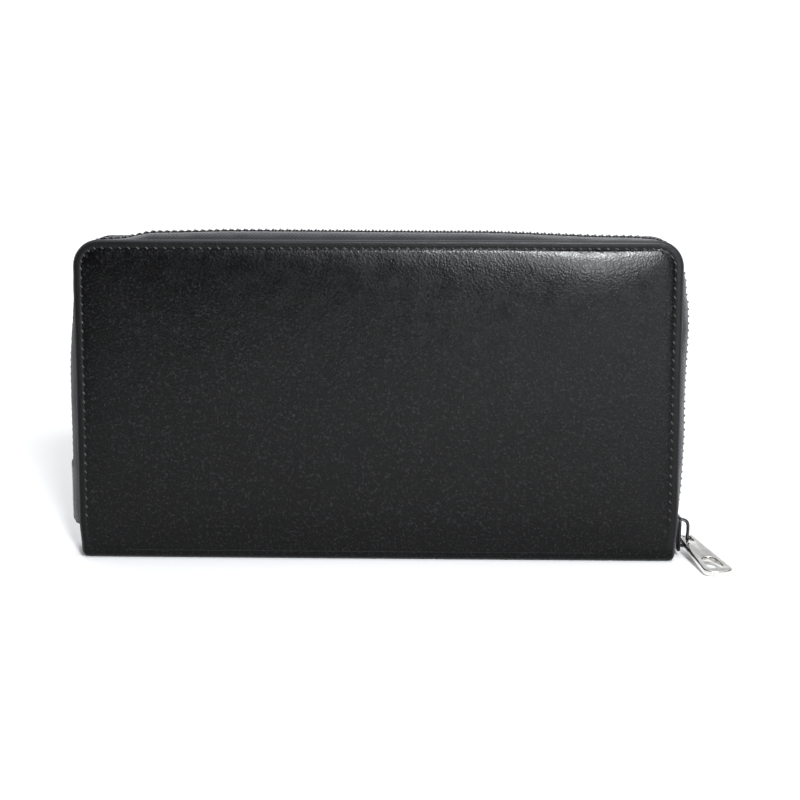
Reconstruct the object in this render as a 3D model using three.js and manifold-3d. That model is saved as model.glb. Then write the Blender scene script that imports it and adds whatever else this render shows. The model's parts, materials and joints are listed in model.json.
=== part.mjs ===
// Long zip-around wallet, standing on its spine.
// Millimetres. X runs along the length, Y through the thickness (the plain back is at -Y), Z is up.
// Z = 0 is the underside of the spine. Layers of each half are given as distances from the mid plane.
import * as THREE from 'three';
import { mergeVertices } from 'three/addons/utils/BufferGeometryUtils.js';
import Module from 'manifold-3d';

const wasm = await Module();
wasm.setup();

// ---- driving dimensions ----
const COVER_LENGTH = 194.5;      // leather panel, end to end
const COVER_TOP = 104;           // top edge of the leather panels
const HALF_THICK = 13;           // mid plane to the outside of a cover
const LEATHER = 1.2;             // cover leather
const CORNER_R = 8;              // top corners of the covers
const FOLD_R = 3.5;              // outside radius of the two folds beside the spine
const FOLD_LENGTH = 193;         // spine and folds, end to end
const GAP = 0.3;                 // air between pieces that touch on the real wallet

const BOARD = [10.7, 11.5];      // stiffener card behind the cover
const LINING = [9.9, 10.4];      // lining of the cover
const CARD_PANEL = [9.1, 9.6];   // panel that carries the card slots
const TIERS = [                  // card strips, lowest first: distances from the mid plane, bottom, top
  { y: [7.0, 7.4], z: [8, 44] },
  { y: [7.7, 8.1], z: [30, 57] },
  { y: [8.4, 8.8], z: [43, 70] },
];
const TIER_LENGTH = 180;
const PANEL_TOP = 86;

const TOOTH_PITCH = 2.33;        // main zip, one row
const TOOTH_HALF = 0.8;          // half the height of the main chain
const TOOTH_ROOT = 1.18;         // the teeth start this far on their own side
const TOOTH_TIP = 0.62;          // and reach this far over the mid plane
const BEAD = 3.0;                // outer edge of the bead that carries the teeth
const TAPE_THICK = 0.5;
const TAPE_LOW_LEFT = 11;        // the tapes end this high at the closed end
const TAPE_LOW_RIGHT = 2.4;      // and this high at the open end
const TAB_TOP = 31;              // leather tab over the closed end

const SLIDE_TILT = 0.0358;       // outward run of the straight right side, per mm of height
const SLIDER_Z = 7.4;            // middle of the main slider, closed
const SLIDER = { length: 11.2, half: 4.7, plate: 0.9, clear: 1.2 };
const SLIDER_BASE = 0.55;        // chain line outside the cover edge at the slider's height

const COIN = { half: 2.15, wall: 0.5, length: 172, low: 4.2, top: 82.2 };
const COIN_CHAIN_Z = 84.2;
const COIN_PITCH = 2.0;
const COIN_SLIDER_X = 76;

const BLACK_LEATHER = [0x15151a, 0.45, 0];
const INNER_LEATHER = [0x1b1b1f, 0.6, 0];
const LINING_CLOTH = [0x26262b, 0.85, 0];
const CARD_BOARD = [0x6d6a62, 0.9, 0];
const TAPE_CLOTH = [0x101012, 0.9, 0];
const BLACK_METAL = [0x17171a, 0.35, 0.9];
const DARK_NICKEL = [0x55555a, 0.25, 1];
const NICKEL = [0xc9c9cc, 0.12, 1];

const group = new THREE.Group();
group.name = 'zip_around_wallet';

// ---- helpers ----
function add(name, geometry, [color, roughness, metalness]) {
  const material = new THREE.MeshStandardMaterial({ color, roughness, metalness });
  const mesh = new THREE.Mesh(geometry, material);
  mesh.name = name;
  group.add(mesh);
}

// An axis-aligned block from its two opposite corners.
function block([x0, y0, z0], [x1, y1, z1]) {
  const geometry = new THREE.BoxGeometry(x1 - x0, y1 - y0, z1 - z0);
  return geometry.translate((x0 + x1) / 2, (y0 + y1) / 2, (z0 + z1) / 2);
}

// A flat piece drawn in the XZ plane that fills y0..y1. The rounding is a small edge chamfer.
function sheet(outline, y0, y1, rounding = 0) {
  const shape = new THREE.Shape(outline.map(([x, z]) => new THREE.Vector2(x, z)));
  const geometry = new THREE.ExtrudeGeometry(shape, {
    depth: y1 - y0 - 2 * rounding,
    bevelEnabled: rounding > 0,
    bevelThickness: rounding,
    bevelSize: rounding,
    bevelOffset: -rounding,
    bevelSegments: 1,
    steps: 1,
  });
  return geometry.rotateX(Math.PI / 2).translate(0, y1 - rounding, 0);
}

// A rectangle with its two top corners rounded.
function archedPanel(halfLength, low, top, radius, lowHalf = halfLength) {
  const points = [[-lowHalf, low], [lowHalf, low]];
  if (lowHalf !== halfLength) points.push([halfLength, low + 8]);
  for (const [cx, start] of [[halfLength - radius, 0], [radius - halfLength, Math.PI / 2]]) {
    for (let i = 0; i <= 6; i += 1) {
      const angle = start + (i / 6) * (Math.PI / 2);
      points.push([cx + radius * Math.cos(angle), top - radius + radius * Math.sin(angle)]);
    }
  }
  if (lowHalf !== halfLength) points.push([-halfLength, low + 8]);
  return points;
}

// A closed body from loops of points, one loop per station. Each loop is a strip: k points out, k back.
function loft(loops) {
  const count = loops[0].length;
  const positions = loops.flat(2);
  const index = [];
  const quad = (a, b, c, d) => index.push(a, b, c, a, c, d);
  for (let i = 0; i + 1 < loops.length; i += 1) {
    for (let j = 0; j < count; j += 1) {
      const k = (j + 1) % count;
      quad(i * count + j, i * count + k, (i + 1) * count + k, (i + 1) * count + j);
    }
  }
  const last = (loops.length - 1) * count;
  for (let j = 0; j + 1 < count / 2; j += 1) {
    const other = count - 1 - j;
    quad(j, other, other - 1, j + 1);
    quad(last + j, last + j + 1, last + other - 1, last + other);
  }
  return outward(positions, index);
}

// A geometry from points and triangles, turned so that its faces look out.
function outward(positions, index) {
  const geometry = new THREE.BufferGeometry();
  geometry.setAttribute('position', new THREE.Float32BufferAttribute(positions, 3));
  let volume = 0;
  for (let i = 0; i < index.length; i += 3) {
    const [a, b, c] = [0, 1, 2].map((k) => new THREE.Vector3().fromArray(positions, 3 * index[i + k]));
    volume += a.dot(b.cross(c));
  }
  if (volume < 0) {
    for (let i = 0; i < index.length; i += 3) [index[i], index[i + 1]] = [index[i + 1], index[i]];
  }
  geometry.setIndex(index);
  geometry.computeVertexNormals();
  return geometry;
}

// Several overlapping geometries joined into one body.
function fuse(...geometries) {
  const solids = geometries.map((source) => {
    const bare = new THREE.BufferGeometry();
    const loose = source.index ? source.toNonIndexed() : source;
    bare.setAttribute('position', loose.getAttribute('position'));
    const merged = mergeVertices(bare, 1e-5);
    return new wasm.Manifold(new wasm.Mesh({
      numProp: 3,
      vertProperties: new Float32Array(merged.getAttribute('position').array),
      triVerts: new Uint32Array(merged.getIndex().array),
    }));
  });
  const mesh = solids.reduce((a, b) => a.add(b)).getMesh();
  const geometry = new THREE.BufferGeometry();
  geometry.setAttribute('position', new THREE.BufferAttribute(mesh.vertProperties, 3));
  geometry.setIndex(new THREE.BufferAttribute(mesh.triVerts, 1));
  geometry.computeVertexNormals();
  return geometry;
}

const mirrored = (side, [near, far]) => (side < 0 ? [-far, -near] : [near, far]);

// ---- the line that the main zip follows ----
const HALF = COVER_LENGTH / 2;
const SIDE_RUN = COVER_TOP - CORNER_R;
const TOP_RUN = COVER_LENGTH - 2 * CORNER_R;
const ARC_RUN = (Math.PI / 2) * CORNER_R;
const RUN = { corner: SIDE_RUN, top: SIDE_RUN + ARC_RUN, far: SIDE_RUN + ARC_RUN + TOP_RUN };
RUN.right = RUN.far + ARC_RUN;
RUN.end = RUN.right + SIDE_RUN;

// How far the chain stands outside the cover edge, along the run. The straight right side leans out evenly.
function bulge(s) {
  const rightHeight = RUN.end - s;
  const straight = SLIDER_BASE + (rightHeight - SLIDER_Z) * SLIDE_TILT;
  if (s > RUN.end - 76) return straight;
  const knots = [
    [0, 2.6], [70, 2.9], [RUN.corner - 4, 1.2], [RUN.corner + ARC_RUN / 2, 0.7], [RUN.top + 10, 1.7],
    [RUN.top + 40, 2.5], [RUN.far - 60, 2.2], [RUN.far - 10, 1.2], [RUN.far + ARC_RUN / 2, 0.7],
    [RUN.right + 4, 1.3], [RUN.end - 76, SLIDER_BASE + (76 - SLIDER_Z) * SLIDE_TILT],
  ];
  const next = knots.findIndex(([at]) => at >= s);
  if (next <= 0) return knots[0][1];
  const [[s0, d0], [s1, d1]] = [knots[next - 1], knots[next]];
  const t = (s - s0) / (s1 - s0);
  return d0 + (d1 - d0) * t * t * (3 - 2 * t);
}

// A point at run s, distance y from the mid plane, offset outside the cover edge.
function onEdge(s, y, offset) {
  if (s <= RUN.corner) return [-HALF - offset, y, s];
  if (s >= RUN.right) return [HALF + offset, y, RUN.end - s];
  if (s >= RUN.top && s <= RUN.far) return [-HALF + CORNER_R + s - RUN.top, y, COVER_TOP + offset];
  const left = s < RUN.top;
  const turn = (s - (left ? RUN.corner : RUN.far)) / CORNER_R;
  const angle = left ? Math.PI - turn : Math.PI / 2 - turn;
  const radius = CORNER_R + offset;
  const cx = (left ? -1 : 1) * (HALF - CORNER_R);
  return [cx + radius * Math.cos(angle), y, SIDE_RUN + radius * Math.sin(angle)];
}

// ---- main zip ----
function zipTape(side) {
  const stations = [TAPE_LOW_LEFT, 40, 70, 84, 92];
  for (let i = 0; i <= 5; i += 1) stations.push(RUN.corner + (i / 5) * ARC_RUN);
  for (const s of [10, 25, 40, 80, TOP_RUN - 60, TOP_RUN - 30, TOP_RUN - 10]) stations.push(RUN.top + s);
  for (let i = 0; i <= 5; i += 1) stations.push(RUN.far + (i / 5) * ARC_RUN);
  for (const height of [92, 84, 76, 40, TAPE_LOW_RIGHT]) stations.push(RUN.end - height);
  // From the bead, flat through the slider's slot, then in under the cover edge.
  const section = (d) => [[BEAD + GAP, d], [5.6, d], [8.4, d * 0.55 - 0.4], [10.2, -1.6], [10.4, -3.6]];
  return loft(stations.map((s) => {
    const line = section(bulge(s));
    const skin = line.map(([y, d], i) => {
      const [ya, da] = line[Math.max(i - 1, 0)];
      const [yb, db] = line[Math.min(i + 1, line.length - 1)];
      const size = Math.hypot(yb - ya, db - da);
      return [y, d, (-(db - da) / size) * (TAPE_THICK / 2), ((yb - ya) / size) * (TAPE_THICK / 2)];
    });
    const out = skin.map(([y, d, ny, nd]) => onEdge(s, side * (y + ny), d + nd));
    const back = skin.map(([y, d, ny, nd]) => onEdge(s, side * (y - ny), d - nd)).reverse();
    return [...out, ...back];
  }));
}

// A row of pointed teeth on their bead. place(s, y, n) puts a point of the flat row onto the zip's line.
function toothRow(place, start, end, pitch, side, { bead, root, tip, half }) {
  const count = Math.floor((end - start) / pitch);
  const shift = side < 0 ? 0 : pitch / 2;
  const positions = [];
  const point = (s, y, n) => positions.push(...place(s, side * y, n)) / 3 - 1;
  const columns = [];
  for (let i = 0; i <= 2 * count; i += 1) {
    const s = start + shift + (i * pitch) / 2;
    const y = i % 2 ? -tip : root;
    columns.push([half, -half].map((n) => [point(s, y, n), i % 2 ? null : point(s, bead, n)]));
  }
  const index = [];
  for (let i = 0; i < 2 * count; i += 2) {
    const [a, b, c] = [columns[i], columns[i + 1], columns[i + 2]];
    for (const [k, flip] of [[0, false], [1, true]]) {
      const faces = [
        [a[k][1], a[k][0], c[k][0]], [a[k][1], c[k][0], c[k][1]], [a[k][0], b[k][0], c[k][0]],
      ];
      for (const [p, q, r] of faces) index.push(...(flip ? [p, r, q] : [p, q, r]));
    }
    const wall = (p, q, r, t) => index.push(p, q, r, p, r, t);
    wall(a[0][0], a[1][0], b[1][0], b[0][0]);
    wall(b[0][0], b[1][0], c[1][0], c[0][0]);
    wall(a[1][1], a[0][1], c[0][1], c[1][1]);
  }
  const [first, last] = [columns[0], columns[2 * count]];
  index.push(first[0][1], first[1][1], first[1][0], first[0][1], first[1][0], first[0][0]);
  index.push(last[0][0], last[1][0], last[1][1], last[0][0], last[1][1], last[0][1]);
  return outward(positions, index);
}

function mainTeeth(side) {
  const place = (s, y, n) => onEdge(s, y, bulge(s) + n);
  const end = RUN.end - (SLIDER_Z - 0.6);
  const shape = { bead: BEAD, root: TOOTH_ROOT, tip: TOOTH_TIP, half: TOOTH_HALF };
  return toothRow(place, TAB_TOP + 0.6, end, TOOTH_PITCH, side, shape);
}

function addMainZip() {
  for (const [name, side] of [['back', -1], ['front', 1]]) {
    add(`zip_tape_${name}`, zipTape(side), TAPE_CLOTH);
    add(`zip_teeth_${name}`, mainTeeth(side), BLACK_METAL);
    const x = HALF + bulge(RUN.end - 3);
    const [y0, y1] = mirrored(side, [2.2, BEAD]);
    add(`zip_stop_${name}`, block([x - 0.4, y0, TAPE_LOW_RIGHT], [x + 0.4, y1, 3.6]), BLACK_METAL);
  }
  const x = -HALF - bulge(20);
  add('zip_start_stop', block([x - 0.1, -2.9, 28], [x + 0.8, 2.9, 30.6]), BLACK_METAL);
  const tab = [[-1.6, TAPE_LOW_LEFT + 1], [-0.6, TAPE_LOW_LEFT], [-0.6, TAB_TOP], [-1.6, TAB_TOP - 0.6]];
  add('zip_end_tab', sheet(tab.map(([dx, z]) => [x + dx, z]), -6, 6), BLACK_LEATHER);
}

// ---- main slider and its puller ----
const TILT = Math.atan(SLIDE_TILT);
const sliderFrame = new THREE.Matrix4()
  .makeRotationY(TILT)
  .setPosition(HALF + SLIDER_BASE, 0, SLIDER_Z);

// In the slider's own frame X looks out of the wallet, Z runs along the chain, 0 is its middle.
function sliderBody({ length, half, plate, clear, post, lip }) {
  const end = length / 2;
  const outline = [
    [-half + 1.2, -end], [half - 1.2, -end], [half, -end + 2], [half - 0.5, end], [-half + 0.5, end],
    [-half, -end + 2],
  ];
  const face = (from) => {
    const shape = new THREE.Shape(outline.map(([y, z]) => new THREE.Vector2(y, z)));
    const solid = new THREE.ExtrudeGeometry(shape, { depth: plate, bevelEnabled: false });
    return solid.applyMatrix4(new THREE.Matrix4().set(0, 0, 1, from, 1, 0, 0, 0, 0, 1, 0, 0, 0, 0, 0, 1));
  };
  const parts = [face(clear), face(-clear - plate)];
  parts.push(block([-clear - 0.1, -post, -end + 0.4], [clear + 0.1, post, -end + 3.4]));
  for (const side of [-1, 1]) {
    const [y0, y1] = mirrored(side, [half - 1.1, half - 0.5]);
    parts.push(block([lip, y0, -end + 2], [clear + 0.1, y1, end]));
    parts.push(block([-clear - 0.1, y0, -end + 2], [-lip, y1, end]));
  }
  return fuse(...parts);
}

// A bar swept along a line of points in its own XZ plane, square in section.
function wire(points, thick) {
  const loops = points.map(([x, z], i) => {
    const [xa, za] = points[Math.max(i - 1, 0)];
    const [xb, zb] = points[Math.min(i + 1, points.length - 1)];
    const size = Math.hypot(xb - xa, zb - za);
    const [nx, nz] = [(-(zb - za) / size) * (thick / 2), ((xb - xa) / size) * (thick / 2)];
    const t = thick / 2;
    return [[x + nx, -t, z + nz], [x + nx, t, z + nz], [x - nx, t, z - nz], [x - nx, -t, z - nz]];
  });
  return loft(loops);
}

const PULLER = { length: 34.6, thick: 1.8, neck: 2.4, tip: 4.7, pivot: 2.8, leg: 1.8, window: 1.2 };
const PULLER_PIVOT = new THREE.Vector3(101.15, 0, 4.6);
const PULLER_DROP = 0.115;       // sine of the slope at which the puller lies from the bail to the table
const PULLER_YAW = 0.2;         // turn of the puller away from the Y axis, radians

function puller() {
  const { length, thick, neck, tip, window: gap } = PULLER;
  const shape = new THREE.Shape();
  shape.moveTo(-neck + 0.6, -0.8);
  shape.lineTo(neck - 0.6, -0.8);
  shape.lineTo(neck, -0.2);
  shape.lineTo(tip, length - 4.5);
  shape.bezierCurveTo(tip, length - 1.6, tip - 1.6, length, 0, length);
  shape.bezierCurveTo(-tip + 1.6, length, -tip, length - 1.6, -tip, length - 4.5);
  shape.lineTo(-neck, -0.2);
  const window = new THREE.Path();
  window.moveTo(-gap, 0.7);
  window.lineTo(-gap, 5.9);
  window.lineTo(gap, 5.9);
  window.lineTo(gap, 0.7);
  const slot = new THREE.Path();
  slot.absarc(0, length - 5.9, 2.6, 0, Math.PI, false);
  slot.absarc(0, length - 11.4, 2.3, Math.PI, 2 * Math.PI, false);
  shape.holes.push(window, slot);
  const geometry = new THREE.ExtrudeGeometry(shape, {
    depth: thick - 0.5, bevelEnabled: true, bevelThickness: 0.25, bevelSize: 0.25, bevelOffset: -0.25,
    bevelSegments: 1, curveSegments: 8,
  });
  geometry.translate(0, 0, -thick / 2 + 0.25);
  const level = Math.sqrt(1 - PULLER_DROP ** 2);
  const along = new THREE.Vector3(
    level * Math.sin(PULLER_YAW), -level * Math.cos(PULLER_YAW), -PULLER_DROP,
  );
  const across = new THREE.Vector3(-Math.cos(PULLER_YAW), -Math.sin(PULLER_YAW), 0);
  const normal = new THREE.Vector3().crossVectors(across, along);
  const base = PULLER_PIVOT.clone().addScaledVector(along, -PULLER.pivot).addScaledVector(across, -PULLER.leg);
  const frame = new THREE.Matrix4().makeBasis(across, along, normal).setPosition(base);
  return geometry.applyMatrix4(frame);
}

function addMainSlider() {
  const body = sliderBody({ ...SLIDER, post: 1.5, lip: 0.6 });
  add('slider_body', body.applyMatrix4(sliderFrame), BLACK_METAL);
  const face = SLIDER.clear + SLIDER.plate;
  const arch = wire([
    [face + GAP, -4.4], [face + 2.1, -4.3], [face + 2.7, -3.2], [face + 2.75, 0], [face + 2.75, 2.6],
    [face + 2.1, 4.2], [face + GAP, 4.5],
  ], 1.1);
  add('slider_bail', arch.applyMatrix4(sliderFrame), DARK_NICKEL);
  add('puller', puller(), NICKEL);
}

// ---- covers and what is sewn behind them ----
function addHalf(name, side) {
  const cover = archedPanel(HALF, FOLD_R + GAP, COVER_TOP, CORNER_R, FOLD_LENGTH / 2);
  const outer = [HALF_THICK - LEATHER, HALF_THICK];
  add(`cover_${name}`, sheet(cover, ...mirrored(side, outer), 0.3), BLACK_LEATHER);
  const layer = (inset, low, top, range) =>
    sheet(archedPanel(HALF - inset, low, top, CORNER_R - 3), ...mirrored(side, range));
  add(`board_${name}`, layer(5, 6, COVER_TOP - 5, BOARD), CARD_BOARD);
  add(`lining_${name}`, layer(5, 5, COVER_TOP - 5, LINING), LINING_CLOTH);
  add(`card_panel_${name}`, layer(6, 6, PANEL_TOP, CARD_PANEL), INNER_LEATHER);
  TIERS.forEach(({ y, z: [low, top] }, i) => {
    const [y0, y1] = mirrored(side, y);
    const end = TIER_LENGTH / 2;
    add(`card_tier_${name}_${i + 1}`, block([-end, y0, low], [end, y1, top]), INNER_LEATHER);
  });
}

// A quarter turn of cover leather between the flat spine and a half.
function fold(side) {
  const outline = [];
  const inner = FOLD_R - LEATHER;
  for (const [radius, from, to] of [[FOLD_R, 0, 1], [inner, 1, 0]]) {
    for (let i = 0; i <= 6; i += 1) {
      const angle = (from + ((to - from) * i) / 6) * (Math.PI / 2);
      outline.push([HALF_THICK - FOLD_R + radius * Math.sin(angle), FOLD_R - radius * Math.cos(angle)]);
    }
  }
  const end = FOLD_LENGTH / 2;
  const loop = (x) => outline.map(([y, z]) => [x, side * y, z]);
  return loft([loop(-end), loop(end)]);
}

function addSpine() {
  const end = FOLD_LENGTH / 2;
  const flat = HALF_THICK - FOLD_R - GAP;
  add('spine_cover', block([-end, -flat, 0], [end, flat, LEATHER]), BLACK_LEATHER);
  add('spine_board', block([-90, -7.5, 1.5], [90, 7.5, 2.3]), CARD_BOARD);
  add('spine_liner', block([-92, -8.6, 2.6], [92, 8.6, 3.1]), LINING_CLOTH);
  add('fold_back', fold(-1), BLACK_LEATHER);
  add('fold_front', fold(1), BLACK_LEATHER);
}

// ---- folded gussets between the coin pocket and the halves, folded in deeper towards the top ----
const GUSSET = { outer: 90, low: 8, top: 80, lowDepth: 8, topDepth: 26, thick: 0.6 };

function gusset(side, hand) {
  const near = COIN.half + COIN.wall + GAP;
  const far = TIERS[0].y[0] - GAP;
  const middle = (near + far) / 2;
  const { outer, low, top, lowDepth, topDepth, thick } = GUSSET;
  const loop = (z, depth) => [
    [outer, near], [outer - depth, middle - 0.3], [outer - depth, middle + 0.3], [outer, far],
    [outer, far - thick], [outer - depth + 1.8, middle + 0.05], [outer - depth + 1.8, middle - 0.05],
    [outer, near + thick],
  ].map(([x, y]) => [hand * x, side * y, z]);
  return loft([loop(low, lowDepth), loop(top, topDepth)]);
}

function addGussets() {
  for (const [name, side] of [['back', -1], ['front', 1]]) {
    for (const [end, hand] of [['left', -1], ['right', 1]]) {
      add(`gusset_${name}_${end}`, gusset(side, hand), INNER_LEATHER);
    }
  }
}

// ---- coin pocket ----
function addCoinPocket() {
  const end = COIN.length / 2;
  const outside = COIN.half + COIN.wall;
  add('coin_floor', block([-end, -outside, 3.4], [end, outside, 3.9]), INNER_LEATHER);
  const place = (s, y, n) => [s, y, COIN_CHAIN_Z + n];
  const shape = { bead: 1.9, root: 0.9, tip: 0.35, half: 0.6 };
  for (const [name, side] of [['back', -1], ['front', 1]]) {
    const [y0, y1] = mirrored(side, [COIN.half, outside]);
    add(`coin_wall_${name}`, block([-end, y0, COIN.low], [end, y1, COIN.top]), INNER_LEATHER);
    const [t0, t1] = mirrored(side, [2.2, 4.2]);
    add(`coin_tape_${name}`, block([-end + 2, t0, 84.0], [end - 2, t1, 84.4]), TAPE_CLOTH);
    add(`coin_teeth_${name}`, toothRow(place, -78, COIN_SLIDER_X - 0.8, COIN_PITCH, side, shape), BLACK_METAL);
  }
  for (const [name, hand] of [['left', -1], ['right', 1]]) {
    const [x0, x1] = mirrored(hand, [end + GAP, end + GAP + 0.6]);
    add(`coin_end_${name}`, block([x0, -outside, COIN.low], [x1, outside, COIN.top]), INNER_LEATHER);
    const [s0, s1] = mirrored(hand, [82, 83.4]);
    add(`coin_stop_${name}`, block([s0, -1.8, 83.7], [s1, 1.8, 84.7]), BLACK_METAL);
  }
}

function addCoinSlider() {
  const turned = new THREE.Matrix4().set(
    0, 0, -1, COIN_SLIDER_X, 0, 1, 0, 0, 1, 0, 0, COIN_CHAIN_Z, 0, 0, 0, 1,
  );
  const size = { length: 8, half: 3.4, plate: 0.7, clear: 0.95, post: 0.8, lip: 0.55 };
  add('coin_slider_body', sliderBody(size).applyMatrix4(turned), DARK_NICKEL);
  const face = size.clear + size.plate;
  const arch = wire([
    [face + GAP, -2.6], [face + 1.7, -2.3], [face + 2.1, -1.2], [face + 2.1, 1.2], [face + 1.7, 2.3],
    [face + GAP, 2.6],
  ], 0.8);
  add('coin_slider_bail', arch.applyMatrix4(turned), DARK_NICKEL);
  const outline = new THREE.Shape();
  outline.moveTo(0.6, -2);
  outline.lineTo(0.6, 2);
  outline.lineTo(-11, 2.6);
  outline.absarc(-12.4, 0, 2.6, Math.PI / 2, 1.5 * Math.PI, false);
  const eye = new THREE.Path();
  eye.moveTo(-0.5, -0.9);
  eye.lineTo(-0.5, 0.9);
  eye.lineTo(-4.4, 0.9);
  eye.lineTo(-4.4, -0.9);
  outline.holes.push(eye);
  const geometry = new THREE.ExtrudeGeometry(outline, { depth: 0.9, bevelEnabled: false, curveSegments: 8 });
  const z = COIN_CHAIN_Z + face + GAP;
  add('coin_puller', geometry.translate(COIN_SLIDER_X, 0, z), NICKEL);
}

addSpine();
addHalf('back', -1);
addHalf('front', 1);
addMainZip();
addMainSlider();
addGussets();
addCoinPocket();
addCoinSlider();

export default group;
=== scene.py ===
"""Long zip-around leather wallet standing on its spine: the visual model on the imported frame.

Sizes in the classes are in millimetres and are turned into metres when a mesh is made. X runs along the
wallet, Y through it (the plain back faces -Y) and Z is up.
"""

from __future__ import annotations

import json
import logging
import math
from dataclasses import dataclass, field
from enum import Enum
from typing import Callable, Sequence
import bpy
from mathutils import Matrix, Vector

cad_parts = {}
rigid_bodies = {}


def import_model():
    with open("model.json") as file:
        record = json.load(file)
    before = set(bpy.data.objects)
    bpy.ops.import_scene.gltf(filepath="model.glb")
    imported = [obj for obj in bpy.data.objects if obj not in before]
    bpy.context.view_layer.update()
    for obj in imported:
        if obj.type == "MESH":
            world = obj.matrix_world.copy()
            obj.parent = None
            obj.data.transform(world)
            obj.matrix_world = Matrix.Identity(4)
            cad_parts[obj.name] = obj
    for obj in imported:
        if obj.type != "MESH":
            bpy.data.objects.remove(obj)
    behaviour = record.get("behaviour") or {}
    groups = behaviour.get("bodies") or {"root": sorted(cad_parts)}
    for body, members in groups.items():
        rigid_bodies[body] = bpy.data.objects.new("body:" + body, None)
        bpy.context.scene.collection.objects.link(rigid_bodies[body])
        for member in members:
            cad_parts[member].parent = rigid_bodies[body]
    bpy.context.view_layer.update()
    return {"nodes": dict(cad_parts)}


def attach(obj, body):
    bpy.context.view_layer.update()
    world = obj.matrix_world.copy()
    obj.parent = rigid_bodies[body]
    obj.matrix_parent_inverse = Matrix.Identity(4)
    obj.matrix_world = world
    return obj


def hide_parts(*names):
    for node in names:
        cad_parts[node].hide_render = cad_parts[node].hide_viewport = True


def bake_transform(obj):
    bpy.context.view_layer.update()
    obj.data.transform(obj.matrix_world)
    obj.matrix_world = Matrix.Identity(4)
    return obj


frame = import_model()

log = logging.getLogger("wallet")
MM = 0.001
# The rim mark of a place that is far from any cut edge, in millimetres.
FAR_FROM_RIM = 9.0
# What still counts as one place when doubles are merged, in metres.
SAME_PLACE = 1e-6
Point = tuple[float, float, float]
Spot = tuple[float, float]
Place = Callable[[float, float], Point]
Socket = bpy.types.NodeSocket


class Side(Enum):
    """The two halves of the wallet, by the sign of their Y."""

    BACK = -1
    FRONT = 1

    @property
    def word(self) -> str:
        """The half's name as the node names spell it."""
        return self.name.lower()

    @property
    def body(self) -> str:
        """The body that the half's pieces ride on."""
        return f"{self.word}_half"


class Weave(Enum):
    """How a cloth is woven."""

    TWILL = "twill"
    HERRINGBONE = "herringbone"


# ---------------------------------------------------------------- bench tools


def deselect() -> None:
    """Clear the selection, so that an operator acts on one piece only."""
    bpy.ops.object.select_all(action="DESELECT")


def activate(piece: bpy.types.Object) -> None:
    """Select one piece and make it active."""
    deselect()
    piece.select_set(True)
    bpy.context.view_layer.objects.active = piece


def smooth(piece: bpy.types.Object, degrees: float = 40) -> None:
    """Shade a piece smooth, with creases sharper than the angle left crisp."""
    activate(piece)
    bpy.ops.object.shade_smooth_by_angle(angle=math.radians(degrees))


def finish_modifier(piece: bpy.types.Object, kind: str, **settings: object) -> None:
    """Add a modifier, set it and apply it.

    Args:
        piece: the piece to change.
        kind: the modifier's type.
        settings: the modifier's own settings.
    """
    activate(piece)
    modifier = piece.modifiers.new(kind.title(), kind)
    for key, value in settings.items():
        setattr(modifier, key, value)
    bpy.ops.object.modifier_apply(modifier=modifier.name)


def recalculate(piece: bpy.types.Object) -> None:
    """Merge doubles and turn every face of a closed piece outwards."""
    activate(piece)
    bpy.ops.object.mode_set(mode="EDIT")
    bpy.ops.mesh.select_all(action="SELECT")
    bpy.ops.mesh.remove_doubles(threshold=SAME_PLACE)
    bpy.ops.mesh.normals_make_consistent(inside=False)
    bpy.ops.object.mode_set(mode="OBJECT")


def soft_sheet(
    name: str,
    us: Sequence[float],
    vs: Sequence[float],
    place: Place,
    thick: float,
    marks: Place | None = None,
) -> bpy.types.Object:
    """Make a sheet of leather or cloth from a grid that is laid onto its surface and given its thickness.

    Args:
        name: the piece's name.
        us: the grid's stations across, in order.
        vs: the grid's stations along, in order.
        place: gives the middle of the sheet, in millimetres, for one u and v.
        thick: the sheet's thickness in millimetres.
        marks: gives (rim, u in mm, v in mm) for one u and v; without it the map is u and v themselves.

    Returns:
        The closed sheet, with a UV map in millimetres and a point attribute named rim.
    """
    deselect()
    across, along = len(us) - 1, len(vs) - 1
    bpy.ops.mesh.primitive_grid_add(x_subdivisions=across, y_subdivisions=along, size=1, calc_uvs=True)
    piece = bpy.context.object
    piece.name = piece.data.name = name
    mesh = piece.data
    cells = [(round((v.co.x + 0.5) * across), round((v.co.y + 0.5) * along)) for v in mesh.vertices]
    rim = mesh.attributes.new("rim", "FLOAT", "POINT")
    notes = []
    for vertex, (i, j) in zip(mesh.vertices, cells):
        u, v = us[i], vs[j]
        note = marks(u, v) if marks else (FAR_FROM_RIM, u, v)
        notes.append(note)
        rim.data[vertex.index].value = note[0]
        vertex.co = Vector(place(u, v)) * MM
    uv = mesh.uv_layers.active.data
    for loop in mesh.loops:
        uv[loop.index].uv = notes[loop.vertex_index][1:]
    finish_modifier(piece, "SOLIDIFY", thickness=thick * MM, offset=0.0, use_even_offset=True)
    recalculate(piece)
    return piece


def copies(name: str, master: bpy.types.Object, places: Sequence[Matrix]) -> bpy.types.Object:
    """Copy a small piece to many places, each copy with its own mesh, and join the copies.

    Args:
        name: the joined piece's name.
        master: the piece that is copied, and then removed.
        places: where each copy goes.

    Returns:
        The joined piece.
    """
    made = []
    for place in places:
        mesh = master.data.copy()
        mesh.transform(place)
        copy = bpy.data.objects.new(name, mesh)
        bpy.context.collection.objects.link(copy)
        made.append(copy)
    bpy.data.objects.remove(master)
    deselect()
    for copy in made:
        copy.select_set(True)
    bpy.context.view_layer.objects.active = made[0]
    if len(made) > 1:
        bpy.ops.object.join()
    joined = bpy.context.view_layer.objects.active
    joined.name = joined.data.name = name
    return joined


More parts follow.
